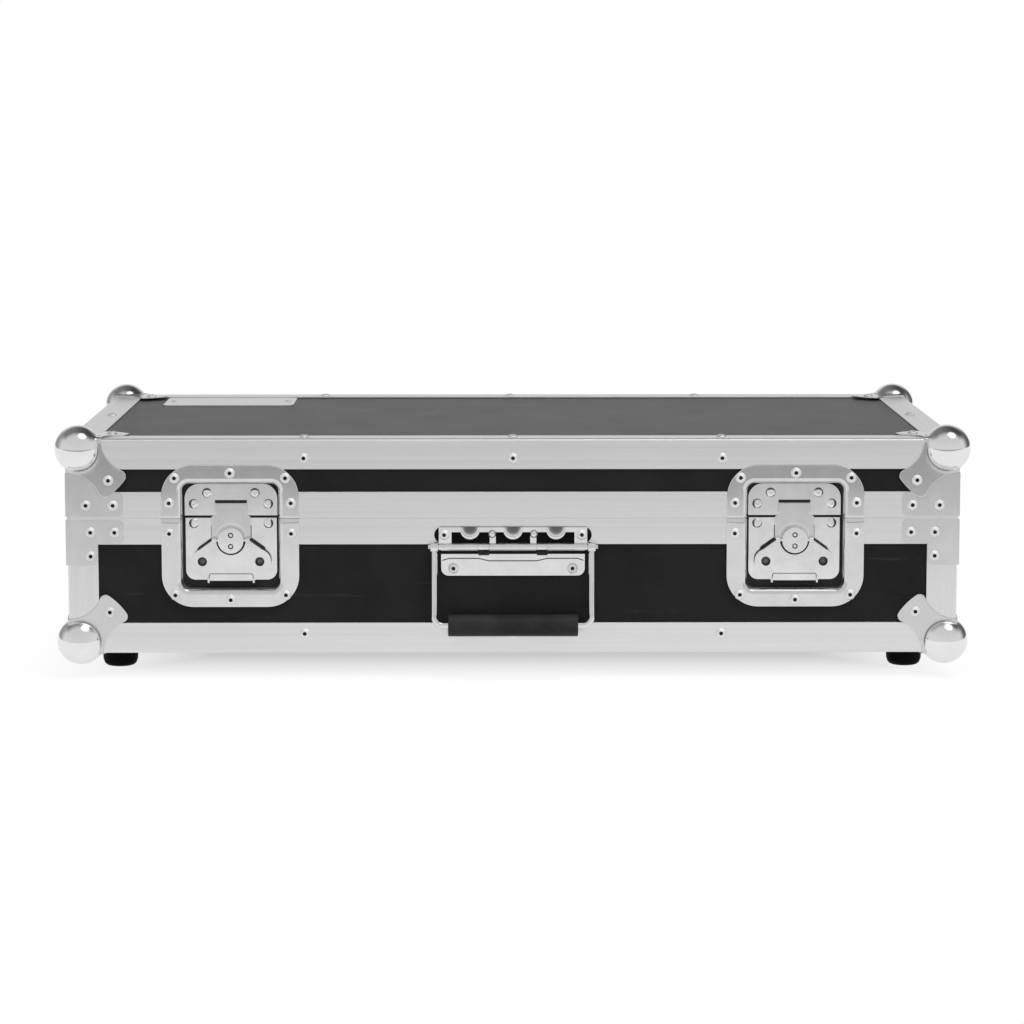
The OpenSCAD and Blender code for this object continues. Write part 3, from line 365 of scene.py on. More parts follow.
foam, tree, where = start("charcoal_foam")
pores = add(tree, "TexVoronoi", {"Vector": where, "Scale": pore_grains},
            feature="SMOOTH_F1")["Distance"]
fluff = noise(tree, where, fluff_grains, detail=4.0)
shade = blend(tree, between(tree, fluff), *foam_shades)
shade = blend(tree, remap(tree, pores, 0.0, pore_edge, pore_most, 0.0), shade, pore_black)
pitted = bumps(tree, pores, pore_relief, pore_height)
finish(foam, tree, {"Base Color": shade, "Roughness": foam_rough, "Specular IOR Level": foam_gloss,
                    "Normal": pitted})
for half, turned in (("base", False), ("lid", True)):
    piece = piece_of(half + "_foam_lining", lining(turned), foam, half, [half + "_foam"])

# Edging: double-angle aluminium extrusion, satin and faintly streaked along its length by the die.
# Its outer corners are rounded, and it is riveted through the plywood.
aluminium_shades, aluminium_cloud, aluminium_rough = (0.78, 0.86), 0.74, (0.27, 0.38)
cloud_from, cloud_full, cloud_most = 0.35, 0.75, 0.25
die_grains, band_grains, cloud_grains = 2200.0, 240.0, 9.0
die_draw, die_relief, die_height = 0.004, 0.12, 0.00008
edging_round, weld_gap = 0.0003, 0.00001


def extruded(name, axis):
    """Satin aluminium with die lines along one axis."""
    made, tree, where = start(name)
    along = tuple(die_draw if i == axis else 1.0 for i in range(3))
    lines = noise(tree, where, die_grains, 2.0, 0.6, along)
    bands = noise(tree, where, band_grains, 3.0, 0.6, along)
    cloud = noise(tree, where, cloud_grains)
    tone = blend(tree, between(tree, bands), *aluminium_shades)
    cloudy = remap(tree, cloud, cloud_from, cloud_full, 0.0, cloud_most)
    tone = blend(tree, cloudy, tone, aluminium_cloud)
    ridges = bumps(tree, lines, die_relief, die_height)
    rough = between(tree, lines, *aluminium_rough)
    return finish(made, tree, {"Base Color": tone, "Metallic": 1.0, "Roughness": rough,
                               "Normal": ridges})


def soften(names, width, segments=2):
    """Rounds the sharp edges of CAD nodes: their loose triangles are joined, then bevelled, and the
    flat faces keep their own way of facing up to the rounding."""
    for name in names:
        weld = nodes[name].modifiers.new("weld", "WELD")
        weld.merge_threshold = weld_gap
        edge = nodes[name].modifiers.new("rounding", "BEVEL")
        edge.width = width
        edge.segments = segments
        edge.limit_method = "ANGLE"
        edge.angle_limit = math.radians(35.0)
        edge.use_clamp_overlap = True
        flat = nodes[name].modifiers.new("flat_faces", "WEIGHTED_NORMAL")
        flat.mode = "FACE_AREA"
        flat.weight = 100
        nodes[name].data.polygons.foreach_set("use_smooth", [True] * len(nodes[name].data.polygons))


aluminium = [extruded("aluminium_along_" + letter, axis) for axis, letter in enumerate("xyz")]
halves = ("base", "lid")
for half in halves:
    along_x = [half + part for part in ("_front_edge", "_back_edge", "_rim_front", "_rim_back")]
    along_y = [half + part for part in ("_left_edge", "_right_edge", "_rim_left", "_rim_right")]
    along_z = [half + "_uprights"]
    for lengths, metal in zip((along_x, along_y, along_z), aluminium):
        dress(lengths, metal)
        soften(lengths, edging_round)

# Ball corners: deep-drawn steel, polished and chromed. A hollow ball runs out into three petals,
# one riveted to each face, folded sharply over the case's edges between them. A petal has two
# hollow sides, two round shoulders and a round end, all measured from the case's corner.
steel_thick = 1.2
ball_r, ball_in, ball_blend = 19.26, 9.0, 1.2
fold_r = 3.7
petal_reach, hollow_at, hollow_r, shoulder_r = 58.0, 56.0, 28.0, 5.0
shoulder = np.array([43.36, 30.48])
# Marks that paint the petals a little darker than the ball, as painted reflection, and the hollow
# dark, as painted shade.
petal_painted_darker, hollow_painted_shade, hollow_wide = 0.26, 0.75, 0.9
fold_clear, fold_fade = 4.0, 6.0
rim_round = 0.0003
wave_grains, press_height = 60.0, 0.0006
scratch_grains, scratch_draw, scratch_relief, scratch_height = 900.0, (1.0, 0.05, 1.0), 0.06, 0.00006
# The roughness that points marked with painted shade turn to.
shade_mark_rough = 0.7


def plated(name, shades, rough, dent, painted_shade=None):
    """Plated steel: a tone between two shades, faint waves from the press and fine scratches. Marked
    points are painted towards the dark shade given, as painted shade where little light comes, and
    by the mark's square turn to a matt finish."""
    made, tree, where = start(name)
    wave = noise(tree, where, wave_grains, 2.0)
    hair = noise(tree, where, scratch_grains, 2.0, 0.6, scratch_draw)
    tone = blend(tree, between(tree, wave), *shades)
    rough = between(tree, hair, *rough)
    metal = 1.0
    if painted_shade is not None:
        mark = add(tree, "Attribute", attribute_name="mark")["Fac"]
        tone = blend(tree, mark, tone, painted_shade)
        matt = product(tree, mark, mark)
        rough = add(tree, "Mix", {0: matt, 2: rough, 3: shade_mark_rough})[0]
        metal = remap(tree, matt, 0.0, 1.0, 1.0, 0.0)
    swell = bumps(tree, wave, dent, press_height)
    scratched = bumps(tree, hair, scratch_relief, scratch_height, under=swell)
    return finish(made, tree, {"Base Color": tone, "Metallic": metal, "Roughness": rough,
                               "Normal": scratched})


def arc(centre, radius, from_angle, to_angle, count=60):
    """Points on a circle, between two angles in degrees."""
    turn = np.radians(np.linspace(from_angle, to_angle, count))
    return np.array(centre) + radius * np.stack([np.cos(turn), np.sin(turn)], axis=-1)


def evenly(line, count):
    """Points at even distances along a line."""
    run = np.concatenate([[0.0], np.cumsum(np.linalg.norm(np.diff(line, axis=0), axis=1))])
    at = np.linspace(0.0, run[-1], count)
    return np.stack([np.interp(at, run, line[:, k]) for k in range(2)], axis=-1)


def petal_sheet(count=44):
    """One petal in its own plane: the two folds and the two outer edges, each a hollow, a round
    shoulder and half of the end arc, with the sheet between them stretched from side to side: the
    sum of both straight blends less the blend of the four corners."""
    lean = math.degrees(math.asin(steel_thick / hollow_r))
    to_shoulder = math.degrees(math.atan2(shoulder[1], shoulder[0] - hollow_at))
    end = math.degrees(math.atan2(shoulder[1], shoulder[0]))
    right = evenly(np.vstack([arc((hollow_at, 0.0), hollow_r, 180.0 + lean, to_shoulder),
                              arc(shoulder, shoulder_r, to_shoulder - 180.0, end),
                              arc((0.0, 0.0), petal_reach, end, 45.0)]), count)
    bottom = evenly(np.array([[-steel_thick, -steel_thick], right[0]]), count)
    top, left = right[:, ::-1], bottom[:, ::-1]
    u = np.linspace(0.0, 1.0, count)[None, :, None]
    v = np.linspace(0.0, 1.0, count)[:, None, None]
    corners = ((1 - u) * (1 - v) * bottom[0] + u * (1 - v) * bottom[-1] + (1 - u) * v * top[0]
               + u * v * top[-1])
    from_sides = (1 - u) * left[:, None] + u * right[:, None]
    return (1 - v) * bottom[None] + v * top[None] + from_sides - corners


def corner_sheets(sides):
    """A ball corner at the case's corner on the given sides: three petals on the faces of a cube,
    whose edges are rounded as the block's are. Each point nearer to the ball's middle than its
    radius is pushed out to it, with a short hollow where ball and petal meet. The petals are painted
    a little darker than the ball, standing in for their darker reflection, and the hollow is painted
    dark as painted shade, except near the folds."""
    flat = petal_sheet()
    sheets = []
    for order in ((0, 2, 1), (2, 1, 0), (1, 0, 2)):
        grid = np.full(flat.shape[:2] + (3,), -steel_thick)
        grid[..., order[0]] = flat[..., 0]
        grid[..., order[1]] = flat[..., 1]
        core = np.maximum(grid, fold_r - steel_thick)
        out = grid - core
        grid = core + fold_r * out / np.linalg.norm(out, axis=-1, keepdims=True)
        out = grid - ball_in
        far = np.linalg.norm(out, axis=-1, keepdims=True)
        reach = (far + ball_r + np.sqrt((far - ball_r) ** 2 + ball_blend ** 2)) / 2
        grid = ball_in + out * reach / far
        off_ball = np.squeeze(far - ball_r)
        off_fold = np.clip((flat.min(axis=-1) - fold_clear) / fold_fade, 0.0, 1.0)
        # Painted reflection on the petals and painted shade in the hollow.
        marks = (petal_painted_darker * np.clip(off_ball + 0.5, 0.0, 1.0)
                 + hollow_painted_shade * off_fold * np.exp(-(off_ball / hollow_wide) ** 2))
        far_side = np.array([half_w, case_d, case_top])
        near_side = np.array([-half_w, 0.0, 0.0])
        points = np.where(np.array(sides), far_side - grid, near_side + grid).reshape(-1, 3)
        faces = faces_of(*grid.shape[:2])
        faces = faces[:, ::-1] if sum(sides) % 2 else faces
        sheets.append((points, faces, marks.ravel()))
    return sheets


def thicken(piece, rounding):
    """Gives a pressed sheet its wall, inwards, and takes the sharp edge off its rim."""
    shell = piece.modifiers.new("wall", "SOLIDIFY")
    shell.thickness = steel_thick * 0.001
    shell.offset = -1.0
    shell.use_even_offset = True
    edge = piece.modifiers.new("rim", "BEVEL")
    edge.width = rounding
    edge.segments = 2
    edge.limit_method = "ANGLE"
    edge.angle_limit = math.radians(60.0)


chrome = plated("polished_chrome", shades=(0.84, 0.89), rough=(0.06, 0.11), dent=0.06, painted_shade=0.03)
for half, up in (("base", False), ("lid", True)):
    sheets = []
    for right in (False, True):
        for back in (False, True):
            sheets += corner_sheets((right, back, up))
    piece = piece_of(half + "_ball_corner_set", sheets, chrome, half,
                     [half + "_ball_corners"], angle=50.0)
    thicken(piece, rim_round)

# Corner braces: pressed steel angles, bright zinc plated, which hold the four corners of either
# half together at the split. Two or three rivets hold each leg.
brace_round = 0.0003
zinc = plated("bright_zinc", shades=(0.68, 0.74), rough=(0.19, 0.25), dent=0.012)
braces = [half + "_corner_braces" for half in halves]
dress(braces, zinc)
soften(braces, brace_round)

# Rivets: blind aluminium rivets with a wide domed head. The mandrel has broken off inside, which
# leaves a hole with a rounded lip in the middle of each head. The hole's wall and floor are painted
# dark, as painted shade.
rivet_r, rivet_h = 4.3, 1.75
rivet_apart = 8.5
# The last points, down the mandrel's hole, are marked dark: painted shade in the hole.
rivet_profile = np.array([(0.0, 0.0, 0), (0.96, 0.0, 0), (1.0, 0.06, 0), (1.0, 0.16, 0),
                          (0.965, 0.28, 0), (0.87, 0.46, 0), (0.74, 0.65, 0), (0.6, 0.81, 0),
                          (0.5, 0.92, 0), (0.45, 0.98, 0), (0.41, 1.0, 0), (0.375, 0.96, 0.1),
                          (0.355, 0.82, 1), (0.34, 0.35, 1), (0.0, 0.3, 1)])


def seats_of(name):
    """Where the rivets of a CAD node sit: the points of each head lie close together, its thinnest
    side is the way it faces, and its seat is on that side's inner face."""
    mesh = nodes[name].data
    points = np.empty(len(mesh.vertices) * 3, np.float32)
    mesh.vertices.foreach_get("co", points)
    points = (points.reshape(-1, 3) - case_origin) * 1000.0
    centre = np.array([0.0, case_d / 2, case_top / 2])
    seats = []
    while len(points):
        near = np.linalg.norm(points - points[0], axis=1) < rivet_apart
        low, high = points[near].min(axis=0), points[near].max(axis=0)
        axis = int(np.argmin(high - low))
        facing = np.zeros(3)
        facing[axis] = np.sign((low + high)[axis] / 2 - centre[axis])
        seat = (low + high) / 2
        seat[axis] = low[axis] if facing[axis] > 0 else high[axis]
        seats.append((seat, facing))
        points = points[~near]
    return seats


def rivet_sheets(seats, radius=rivet_r, height=rivet_h, profile=rivet_profile, around=24):
    """Rivet heads: a profile of radius, height and mark, turned about the way each head faces."""
    turn = np.linspace(0.0, 2 * np.pi, around, endpoint=False)[None, :, None]
    far = profile[:, 0][:, None, None] * radius
    rise = profile[:, 1][:, None, None] * height
    marks = np.repeat(profile[:, 2], around)
    faces = faces_of(len(profile), around, ring=True)
    sheets = []
    for seat, facing in seats:
        first = np.roll(facing, 1)
        second = np.cross(facing, first)
        grid = seat + far * (np.cos(turn) * first + np.sin(turn) * second) + rise * facing
        sheets.append((grid.reshape(-1, 3), faces, marks))
    return sheets


rivet_metal = plated("rivet_aluminium", shades=(0.84, 0.9), rough=(0.46, 0.54), dent=0.05, painted_shade=0.01)
for half in halves:
    piece_of(half + "_rivet_heads", rivet_sheets(seats_of(half + "_rivets")), rivet_metal, half,
             [half + "_rivets"], angle=60.0)

# Name plate: a bare sheet of brushed aluminium with round corners on the lid, against the rear
# edging. Two rivets hold it. The photograph's lettering is left off.
name_low, name_high = (-312.0, case_d - 101.0), (-195.0, case_d - 27.0)
name_round, name_thick, panel_down = 6.0, 0.8, 1.5
name_rivet_r, name_rivet_h, name_rivet_in = 3.0, 1.0, 7.0


def round_corners(low, high, radius, count=9):
    """A rectangle's outline with round corners, anticlockwise from the lower right."""
    centres = [(high[0] - radius, low[1] + radius, -90), (high[0] - radius, high[1] - radius, 0),
               (low[0] + radius, high[1] - radius, 90), (low[0] + radius, low[1] + radius, 180)]
    return np.vstack([arc(c[:2], radius, c[2], c[2] + 90.0, count) for c in centres])


def filled(loop, centre, radius, rows=4):
    """A flat sheet from a closed outline in to a round hole, or to a point where the radius is
    nought: straight lines from each point of the outline to the hole's edge before it."""
    toward_loop = loop - np.array(centre)
    ring = np.array(centre) + radius * toward_loop / np.linalg.norm(toward_loop, axis=1)[:, None]
    share = np.linspace(0.0, 1.0, rows)[:, None, None]
    return (1 - share) * loop[None] + share * ring[None]


flat = filled(round_corners(name_low, name_high, name_round), np.add(name_low, name_high) / 2, 0.0)
rows, columns = flat.shape[:2]
name_top = case_top - panel_down + name_thick
face = np.dstack([flat, np.full((rows, columns), name_top)])
foot = face[:1] - (0, 0, name_thick)
grid = np.concatenate([foot, face])
sheet = (grid.reshape(-1, 3), faces_of(rows + 1, columns, ring=True), np.zeros((rows + 1) * columns))
piece_of("bare_plate", [sheet], extruded("brushed_plate", 0), "lid")
facing_up = np.array([0.0, 0.0, 1.0])
name_seats = [(np.array([x, (name_low[1] + name_high[1]) / 2, name_top]), facing_up)
              for x in (name_low[0] + name_rivet_in, name_high[0] - name_rivet_in)]
piece_of("bare_plate_rivets", rivet_sheets(name_seats, name_rivet_r, name_rivet_h), rivet_metal,
         "lid", angle=60.0)


# Feet: moulded black rubber, each screwed to the bottom through a hole in its middle. The rubber
# has a matt grain, with a pale bloom in places.
moulded_grains, moulded_relief, moulded_height = 900.0, 0.25, 0.00015
bloom_grains, bloom_from, bloom_full = 40.0, 0.35, 0.7
bloom_paler, bloom_rougher = 1.7, 0.12


def rubber(name, shade, rough, gloss):
    """Moulded black rubber: its bloom is paler and rougher than the shade and roughness given."""
    made, tree, where = start(name)
    grain = noise(tree, where, moulded_grains)
    bloom = noise(tree, where, bloom_grains)
    bloomed = remap(tree, bloom, bloom_from, bloom_full, 0.0, 1.0)
    tone = blend(tree, bloomed, shade, shade * bloom_paler)
    grained = bumps(tree, grain, moulded_relief, moulded_height)
    rough = between(tree, bloom, rough, rough + bloom_rougher)
    return finish(made, tree, {"Base Color": tone, "Roughness": rough, "Specular IOR Level": gloss,
                               "Normal": grained})


black_rubber = rubber("black_rubber", shade=0.004, rough=0.5, gloss=0.05)
dress(["feet"], black_rubber)

# Latch dishes: drawn from nickel-plated sheet. Each is a flange with round corners and a pocket with
# drawn-in walls, cut in two at the split: the larger half on the base, the keeper's half on the lid.
flange = dict(base=(56.0, 72.9, 26.0), lid=(56.0, 43.8, 26.0))
pocket = dict(base=(39.4, 58.4, 6.0), lid=(39.4, 28.4, 6.0))
flange_edge = ((0.0, 1.4), (0.0, -0.6), (-0.15, -1.0), (-0.6, -1.2), (-0.75, -1.2))
# Painted shade: the inner end of the drawn radius is painted a little darker, the walls nearly dark
# and the pocket's floor fully dark, for the shade in the pocket.
draw_r, draw_flat, draw_painted_shade, draw_shade_from = 4.0, 0.2, 0.12, 1.4
wall_lean, wall_middle, wall_painted_shade = 0.1, 5.0, 0.8
floor_r, floor_in, floor_depth = 1.3, 0.3, 12.3
split_gap = 0.15
pivot, post_hole = 19.0, 5.05
corner_count, side_count, foot_count, cut_count, draw_count, floor_count = 14, 12, 15, 18, 9, 5
dish_round = 0.0002


def half_loop(half, reach, radius):
    """The outline of one half of the dish, from the split on the left, round both corners, to the
    split on the right: across and away from the split. Every outline has as many points."""
    turn = np.linspace(0.0, np.pi / 2, corner_count + 1)[:-1]
    side = np.linspace(split_gap, reach - radius, side_count + 1)[:-1]
    foot = np.linspace(radius - half, 0.0, foot_count)
    across = np.concatenate([np.full(side_count, -half), radius - half - radius * np.cos(turn), foot])
    away = np.concatenate([side, reach - radius + radius * np.sin(turn), np.full(foot_count, reach)])
    return np.stack([np.concatenate([across, -across[-2::-1]]),
                     np.concatenate([away, away[-2::-1]])], axis=-1)


def grown(outline, out, depth, mark=0.0):
    """A station of the dish: an outline's half width, reach and corner radius, all moved outwards,
    with its depth and mark."""
    width, reach, radius = outline
    return width + out, reach + out, radius + out, depth, mark


def dish_sheets(half, x):
    """Outlines between the flange's edge and the pocket's floor, one below the other: out and over
    the flange's rim, along it, down a quarter circle into the wall, and round to the floor. The floor
    is filled to the cam's hole in the base and to its middle in the lid."""
    stations = [grown(flange[half], out, depth) for out, depth in flange_edge]
    stations.append(grown(pocket[half], draw_r + draw_flat, -steel_thick))
    for turn in np.linspace(0.0, np.pi / 2, draw_count):
        depth = draw_r - steel_thick - draw_r * math.cos(turn)
        stations.append(grown(pocket[half], draw_r * (1 - math.sin(turn)), depth,
                              draw_painted_shade * (turn > draw_shade_from)))
    stations.append(grown(pocket[half], -wall_lean, wall_middle, wall_painted_shade))
    for turn in np.linspace(0.0, np.pi / 2, floor_count):
        inward = floor_in + floor_r * (1 - math.cos(turn))
        depth = floor_depth - floor_r + floor_r * math.sin(turn)
        stations.append(grown(pocket[half], -inward, depth, 1.0))
    up = 1.0 if half == "lid" else -1.0
    rows = []
    for width, reach, radius, depth, mark in stations:
        loop = half_loop(width, reach, radius)
        rows.append(np.column_stack([x + loop[:, 0], np.full(len(loop), depth),
                                     split + up * loop[:, 1], np.full(len(loop), mark)]))
    wall = np.array(rows)
    last = half_loop(*stations[-1][:3])
    across = np.linspace(last[-1, 0], last[0, 0], cut_count + 2)[1:-1]
    loop = np.vstack([last, np.column_stack([across, np.full(cut_count, split_gap)])])
    hole = ((0.0, pivot), post_hole) if half == "base" else ((0.0, pocket[half][1] / 2), 0.0)
    flat = filled(loop, *hole)
    count = flat.shape[0] * flat.shape[1]
    floor_points = np.column_stack([x + flat[..., 0].ravel(), np.full(count, floor_depth),
                                    split + up * flat[..., 1].ravel()])
    # The floor is marked fully dark, as painted shade.
    sheets = [(wall[..., :3].reshape(-1, 3), faces_of(*wall.shape[:2]), wall[..., 3].ravel()),
              (floor_points, faces_of(*flat.shape[:2], ring=True), np.ones(count))]
    if half == "lid":
        sheets = [(points, faces[:, ::-1], marks) for points, faces, marks in sheets]
    return sheets


nickel = plated("nickel_plate", shades=(0.69, 0.75), rough=(0.09, 0.13), dent=0.03, painted_shade=0.02)
for side, x in (("left", -latch_x), ("right", latch_x)):
    for half, node in (("base", "_latch_dish"), ("lid", "_keeper_dish")):
        piece = piece_of(side + "_dish_on_" + half, dish_sheets(half, x), nickel, half,
                         [side + node])
        thicken(piece, dish_round)

# Latch plates: the base plate, the keeper and the hook are blanked from zinc-plated steel, and the
# cam's disc and the butterfly wing are pressed. The wing has a finger hole in either lobe, bent-back
# upper edges, and a tab folded up from its lower edge between two small lugs. Painted shade: the
# finger holes are closed behind by dark cups, and the bent-back edges, the tab's fold, the dimples'
# walls, a half ring below the disc and strips along the hook's sides are painted dark.
wing_face, dimple_floor, hook_face = 5.28, 3.5, 9.3
lug_x, lug_half, lug_low, lug_high, lug_round = 18.4, 0.9, -35.0, -30.6, 0.5
lug_front, lug_back = 4.5, 6.4
hole_x, hole_drop, hole_r = 23.4, 17.4, 3.75
# Each finger hole is lined and closed behind by a cup whose wall and floor are marked dark: a sheet
# of painted shade where the hole shows only shadow.
eyelet_with_painted_shade = np.array([(hole_r + 0.7, wing_face + 0.05, 0), (hole_r + 0.45, wing_face - 0.1, 0),
                   (hole_r + 0.1, wing_face - 0.06, 0), (hole_r - 0.15, wing_face + 0.25, 0.5),
                   (hole_r - 0.2, wing_face + 0.9, 1), (hole_r - 0.4, 7.8, 1), (1.6, 8.0, 0.85),
                   (0.0, 7.9, 0.75)])
dimple_at = 4.6
# The dimple's wall and the edge of its floor are marked dark, as painted shade.
dimple = np.array([(2.22, dimple_floor - 0.88, 0), (2.15, dimple_floor - 0.7, 0.6),
                   (2.1, dimple_floor - 0.06, 1), (1.55, dimple_floor - 0.06, 1),
                   (1.4, dimple_floor - 0.25, 0.3), (1.1, dimple_floor - 0.42, 0.1),
                   (0.6, dimple_floor - 0.52, 0), (0.0, dimple_floor - 0.55, 0)])
# The collar is a dark half ring in the gap below the disc, a sheet of painted shadow.
shadow_collar_arc, bead_arc = (190.0, 350.0), (20.0, 160.0)
shadow_collar = np.array([(11.75, 8.95, 1), (11.75, wing_face + 0.6, 1), (11.5, wing_face + 0.4, 1),
                   (10.3, wing_face + 0.3, 1), (10.3, 8.0, 1)])
bead = np.array([(14.2, hook_face, 0), (13.8, hook_face - 0.16, 0), (13.2, hook_face - 0.27, 0),
                 (12.7, hook_face - 0.27, 0), (12.2, hook_face - 0.14, 0), (11.9, hook_face, 0)])
lip_start, lip_end = np.array([14.2, 1.0]), np.array([28.0, -8.9])
lip_out, lip_middle, lip_taper = np.array([0.583, 0.812]), 5.9, 9
# The bent-back edge is marked dark, as painted shade under the wing's upper edges.
lip_with_painted_shade = np.array([(-0.5, 5.3, 0), (-0.4, 5.22, 0.6), (0.1, 5.3, 1), (0.8, 5.85, 1), (1.4, 6.7, 1),
                (1.4, 7.0, 1), (0.9, 7.1, 1), (-0.3, 6.7, 1)])
tab_path = np.vstack([[(-17.9, -33.2)], arc((-16.4, -28.9), 1.5, 180.0, 90.0, 8),
                      arc((16.4, -28.9), 1.5, 90.0, 0.0, 8), [(17.9, -33.2)]])
# A dark line painted along the tab's fold, as painted shade in the crease.
tab_fold_shade = np.array([(-0.3, wing_face - 0.03, 0.9), (0.0, wing_face - 0.05, 1),
                     (0.35, wing_face - 0.02, 0.7)])
# Dark strips along the hook's sides, painted shadow where the hook stands off the base plate.
shadow_hem_path = np.array([(15.8, 11.6), (15.8, 2.0)])
shadow_hem = np.array([(0.0, hook_face + 0.1, 1), (0.5, hook_face + 0.9, 1), (0.75, 11.0, 1)])
latch_round = 0.00025


def turned_sheet(x, z, profile, from_angle=0.0, to_angle=360.0, around=40):
    """A profile of radius, depth and mark, carried round an axis that runs through the front at x
    and z, wholly or through part of a turn. Its points run from the rim inwards."""
    whole = to_angle - from_angle > 359.0
    turn = np.radians(np.linspace(from_angle, to_angle, around, endpoint=not whole))
    radius, depth = profile[:, 0][:, None], profile[:, 1][:, None] + np.zeros(around)
    grid = np.stack([x + radius * np.cos(turn), depth, z + radius * np.sin(turn)], axis=-1)
    faces = faces_of(len(profile), around, ring=whole)
    return grid.reshape(-1, 3), faces, np.repeat(profile[:, 2], around)


def lip_sheet(x, z, sign, count=16):
    """One of the wing's upper edges, bent back: a section of offset, depth and mark carried along
    the edge, drawn together to a point at either end."""
    along = np.linspace(0.0, 1.0, count)
    line = lip_start + along[:, None] * (lip_end - lip_start)
    swell = np.clip(np.minimum(along, 1 - along) * lip_taper, 0.0, 1.0)[None, :]
    offset = lip_with_painted_shade[:, 0][:, None] * swell
    depth = lip_middle + (lip_with_painted_shade[:, 1][:, None] - lip_middle) * swell
    grid = np.stack([x + sign * (line[:, 0] + offset * lip_out[0]), depth,
                     z + line[:, 1] + offset * lip_out[1]], axis=-1)
    grid = np.concatenate([grid, grid[:1]])
    faces = faces_of(len(lip_with_painted_shade) + 1, count)
    faces = faces if sign > 0 else faces[:, ::-1]
    return grid.reshape(-1, 3), faces, np.repeat(np.append(lip_with_painted_shade[:, 2], lip_with_painted_shade[0, 2]), count)


def strip_sheet(x, z, path, section, sign):
    """A strip along a path across and up: its section is the offset from the path's left side, the
    depth and the mark."""
    step = np.gradient(path, axis=0)
    aside = np.stack([-step[:, 1], step[:, 0]], axis=-1) / np.linalg.norm(step, axis=1)[:, None]
    line = path[None] + sign * section[:, 0][:, None, None] * aside[None]
    depth = np.repeat(section[:, 1][:, None], len(path), axis=1)
    grid = np.stack([x + line[..., 0], depth, z + line[..., 1]], axis=-1)
    faces = faces_of(len(section), len(path))
    faces = faces if sign > 0 else faces[:, ::-1]
    return grid.reshape(-1, 3), faces, np.repeat(section[:, 2], len(path))


latch_metal = plated("latch_zinc", shades=(0.76, 0.86), rough=(0.14, 0.2), dent=0.03, painted_shade=0.006)
pivot_z = split - pivot
for side, x in (("left", -latch_x), ("right", latch_x)):
    plates = [side + part for part in ("_latch_base_plate", "_keeper", "_latch_cam", "_latch_wing")]
    hook = side + "_latch_hook"
    dress(plates, latch_metal)
    dress([hook], zinc)
    soften(plates + [hook], latch_round)
    on_wing, on_hook = [], [turned_sheet(x, pivot_z, bead, *bead_arc)]
    for sign in (-1, 1):
        low = (x + sign * lug_x - lug_half, lug_front, pivot_z + lug_low)
        high = (x + sign * lug_x + lug_half, lug_back, pivot_z + lug_high)
        on_wing += soft_block(low, high, lug_round, 1.0)
        on_wing.append(turned_sheet(x + sign * hole_x, pivot_z - hole_drop, eyelet_with_painted_shade))
        on_wing.append(lip_sheet(x, pivot_z, sign))
        on_hook.append(strip_sheet(x, pivot_z, shadow_hem_path * (sign, 1), shadow_hem, sign))
    on_wing.append(strip_sheet(x, pivot_z, tab_path, tab_fold_shade, 1))
    on_cam = [turned_sheet(x, pivot_z + sign * dimple_at, dimple) for sign in (-1, 1)]
    on_cam.append(turned_sheet(x, pivot_z, shadow_collar, *shadow_collar_arc))
    piece_of(side + "_wing_lugs", on_wing, latch_metal, side + "_wing")
    piece_of(side + "_disc_dimples", on_cam, latch_metal, side + "_cam")
    piece_of(side + "_hook_bead", on_hook, latch_metal, side + "_hook")

# Handle: a chromed leaf with three dished tongues and two bosses over a rubber pad, a creased lower
# plate, and a wire bail with a rubber grip that swings on the rod in the plates' barrels. Painted
# shade darkens the hollow of each tongue, a ring round the foot of each boss, and a strip along the
# crease.
rod_z = split - 23.2
leaf_face = -3.0
leaf_round, grip_round = 0.0003, 0.0008
tongue_r, tongue_pitch, tongue_top, tongue_back = 8.0, 35.0, 16.0, 1.2
tongue_count = 33
# The hollow of each tongue is marked dark, as painted shade.
tongue_profile = np.array([(0.0, -0.06, 1.0), (0.35, -0.06, 1.0), (0.62, -0.1, 0.9),
                           (0.74, -0.35, 0.4), (0.8, -0.75, 0.0), (0.86, -0.95, 0.0),
                           (0.92, -0.85, 0.0), (0.98, -0.35, 0.0), (1.0, 0.3, 0.0), (1.0, 1.2, 0.0)])
boss_x, boss_up, boss_r, boss_h = 17.0, 10.5, 2.7, 1.8
# The flat ring round the boss's foot is marked dark, as painted shadow.
boss_profile = np.array([(0.0, 0.0, 1), (1.2, 0.0, 1), (1.2, 0.05, 1), (1.02, 0.08, 1),
                         (1.0, 0.25, 0), (0.93, 0.55, 0), (0.8, 0.78, 0), (0.6, 0.92, 0),
                         (0.3, 0.99, 0), (0.0, 1.0, 0)])
crease_path = np.array([(-58.5, -11.6), (-52.5, -9.6), (-28.2, -9.6), (-19.4, -11.6), (19.4, -11.6),
                        (28.2, -9.6), (52.5, -9.6), (58.5, -11.6)])
crease_half, crease_count = 57.5, 120
# The crease's strip is marked dark, as painted shade.
crease_shade_section = np.array([(0.25, -0.84, 1.0), (-0.05, -0.86, 1.0), (-0.45, -0.5, 1.0),
                           (-0.8, -0.03, 0.6)])


def tongue_sheet(x):
    """A dished tongue: a profile of radius, height and mark, hollow in the middle and raised at the
    rim, turned through half a circle below the leaf's upper edge. Its cut ends are closed
    backwards."""
    turn = np.linspace(np.pi, 2 * np.pi, tongue_count)
    far = tongue_profile[:, 0][:, None] * tongue_r
    depth = leaf_face + np.repeat(tongue_profile[:, 1][:, None], tongue_count, axis=1)
    grid = np.stack([x + far * np.cos(turn), depth, rod_z + tongue_top + far * np.sin(turn)], axis=-1)
    back = (0, leaf_face + tongue_back, 0)
    left_end, right_end = grid[:, :1] * (1, 0, 1) + back, grid[:, -1:] * (1, 0, 1) + back
    grid = np.concatenate([left_end, grid, right_end], axis=1)
    faces = faces_of(len(tongue_profile), tongue_count + 2)[:, ::-1]
    return grid.reshape(-1, 3), faces, np.repeat(tongue_profile[:, 2], tongue_count + 2)


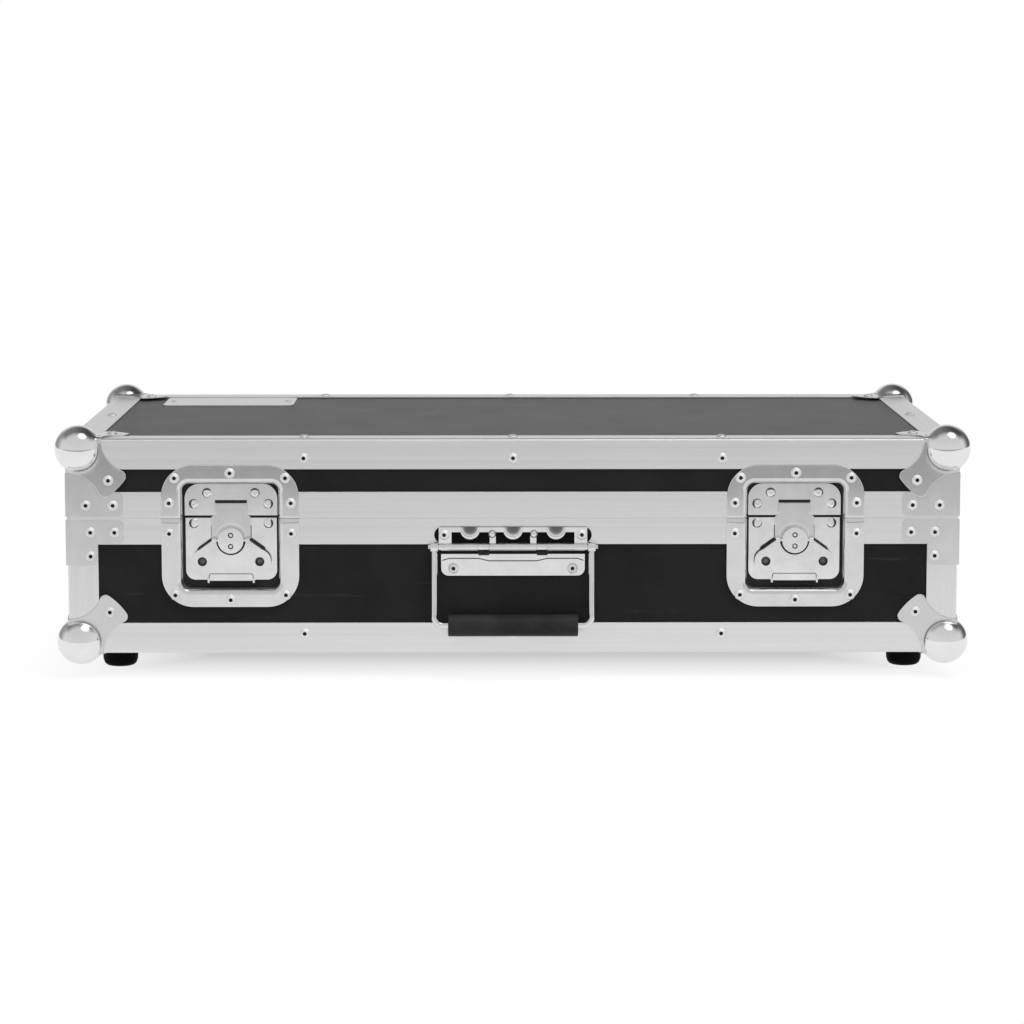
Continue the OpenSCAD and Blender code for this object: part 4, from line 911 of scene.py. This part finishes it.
def crease_shade_sheet():
    """A dark strip of painted shade along the lower plate's crease: a section of height, depth and
    mark, carried along the crease's path."""
    along = np.linspace(-crease_half, crease_half, crease_count)
    rise = np.interp(along, crease_path[:, 0], crease_path[:, 1])
    grid = np.stack([np.tile(along, (len(crease_shade_section), 1)),
                     np.tile(crease_shade_section[:, 1:2], (1, crease_count)),
                     rod_z + rise[None, :] + crease_shade_section[:, 0:1]], axis=-1)
    faces = faces_of(len(crease_shade_section), crease_count)[:, ::-1]
    return grid.reshape(-1, 3), faces, np.repeat(crease_shade_section[:, 2], crease_count)


dress(["handle_backing"], black_rubber)
dress(["handle_grip"], rubber("grip_rubber", shade=0.017, rough=0.38, gloss=0.12))
handle_chrome = plated("handle_chrome", shades=(0.72, 0.8), rough=(0.06, 0.1), dent=0.05, painted_shade=0.1)
dress(["handle_leaf", "handle_hinge_plate", "handle_bail"], handle_chrome)
soften(["handle_leaf", "handle_hinge_plate"], leaf_round)
soften(["handle_grip"], grip_round, 3)
tongues = [tongue_sheet(place * tongue_pitch) for place in (-1, 0, 1)]
piece_of("handle_tongues", tongues, handle_chrome, "base", angle=60.0)
facing_front = np.array([0.0, -1.0, 0.0])
boss_seats = [(np.array([sign * boss_x, leaf_face, rod_z + boss_up]), facing_front)
              for sign in (-1, 1)]
piece_of("handle_bosses", rivet_sheets(boss_seats, boss_r, boss_h, boss_profile), handle_chrome,
         "base", angle=60.0)
piece_of("handle_crease_shade", [crease_shade_sheet()], handle_chrome, "base", angle=60.0)
turned_steel = plated("turned_steel", shades=(0.6, 0.68), rough=(0.25, 0.35), dent=0.05)
dress(["handle_axle"], turned_steel)

# Hinges: two zinc-plated butt hinges at the back, each leaf held by three small rivets. Their pins
# are plain turned steel.
hinge_x, hinge_pitch, leaf_out, leaf_middle = 200.0, 22.0, 1.5, dict(base=-15.0, lid=11.0)
hinge_rivet_r, hinge_rivet_h = 3.2, 1.3
hinge_round = 0.00025
dress(["hinge_pins"], turned_steel)
leaves = [half + "_hinge_leaves" for half in halves]
dress(leaves, zinc)
soften(leaves, hinge_round)
facing_back = np.array([0.0, 1.0, 0.0])
for half in halves:
    seats = [(np.array([sign * hinge_x + step * hinge_pitch, case_d + leaf_out,
                        split + leaf_middle[half]]), facing_back)
             for sign in (-1, 1) for step in (-1, 0, 1)]
    piece_of(half + "_hinge_rivets", rivet_sheets(seats, hinge_rivet_r, hinge_rivet_h), rivet_metal,
             half, angle=60.0)

# Colours come out as they are written.
scene.view_settings.view_transform = "Standard"
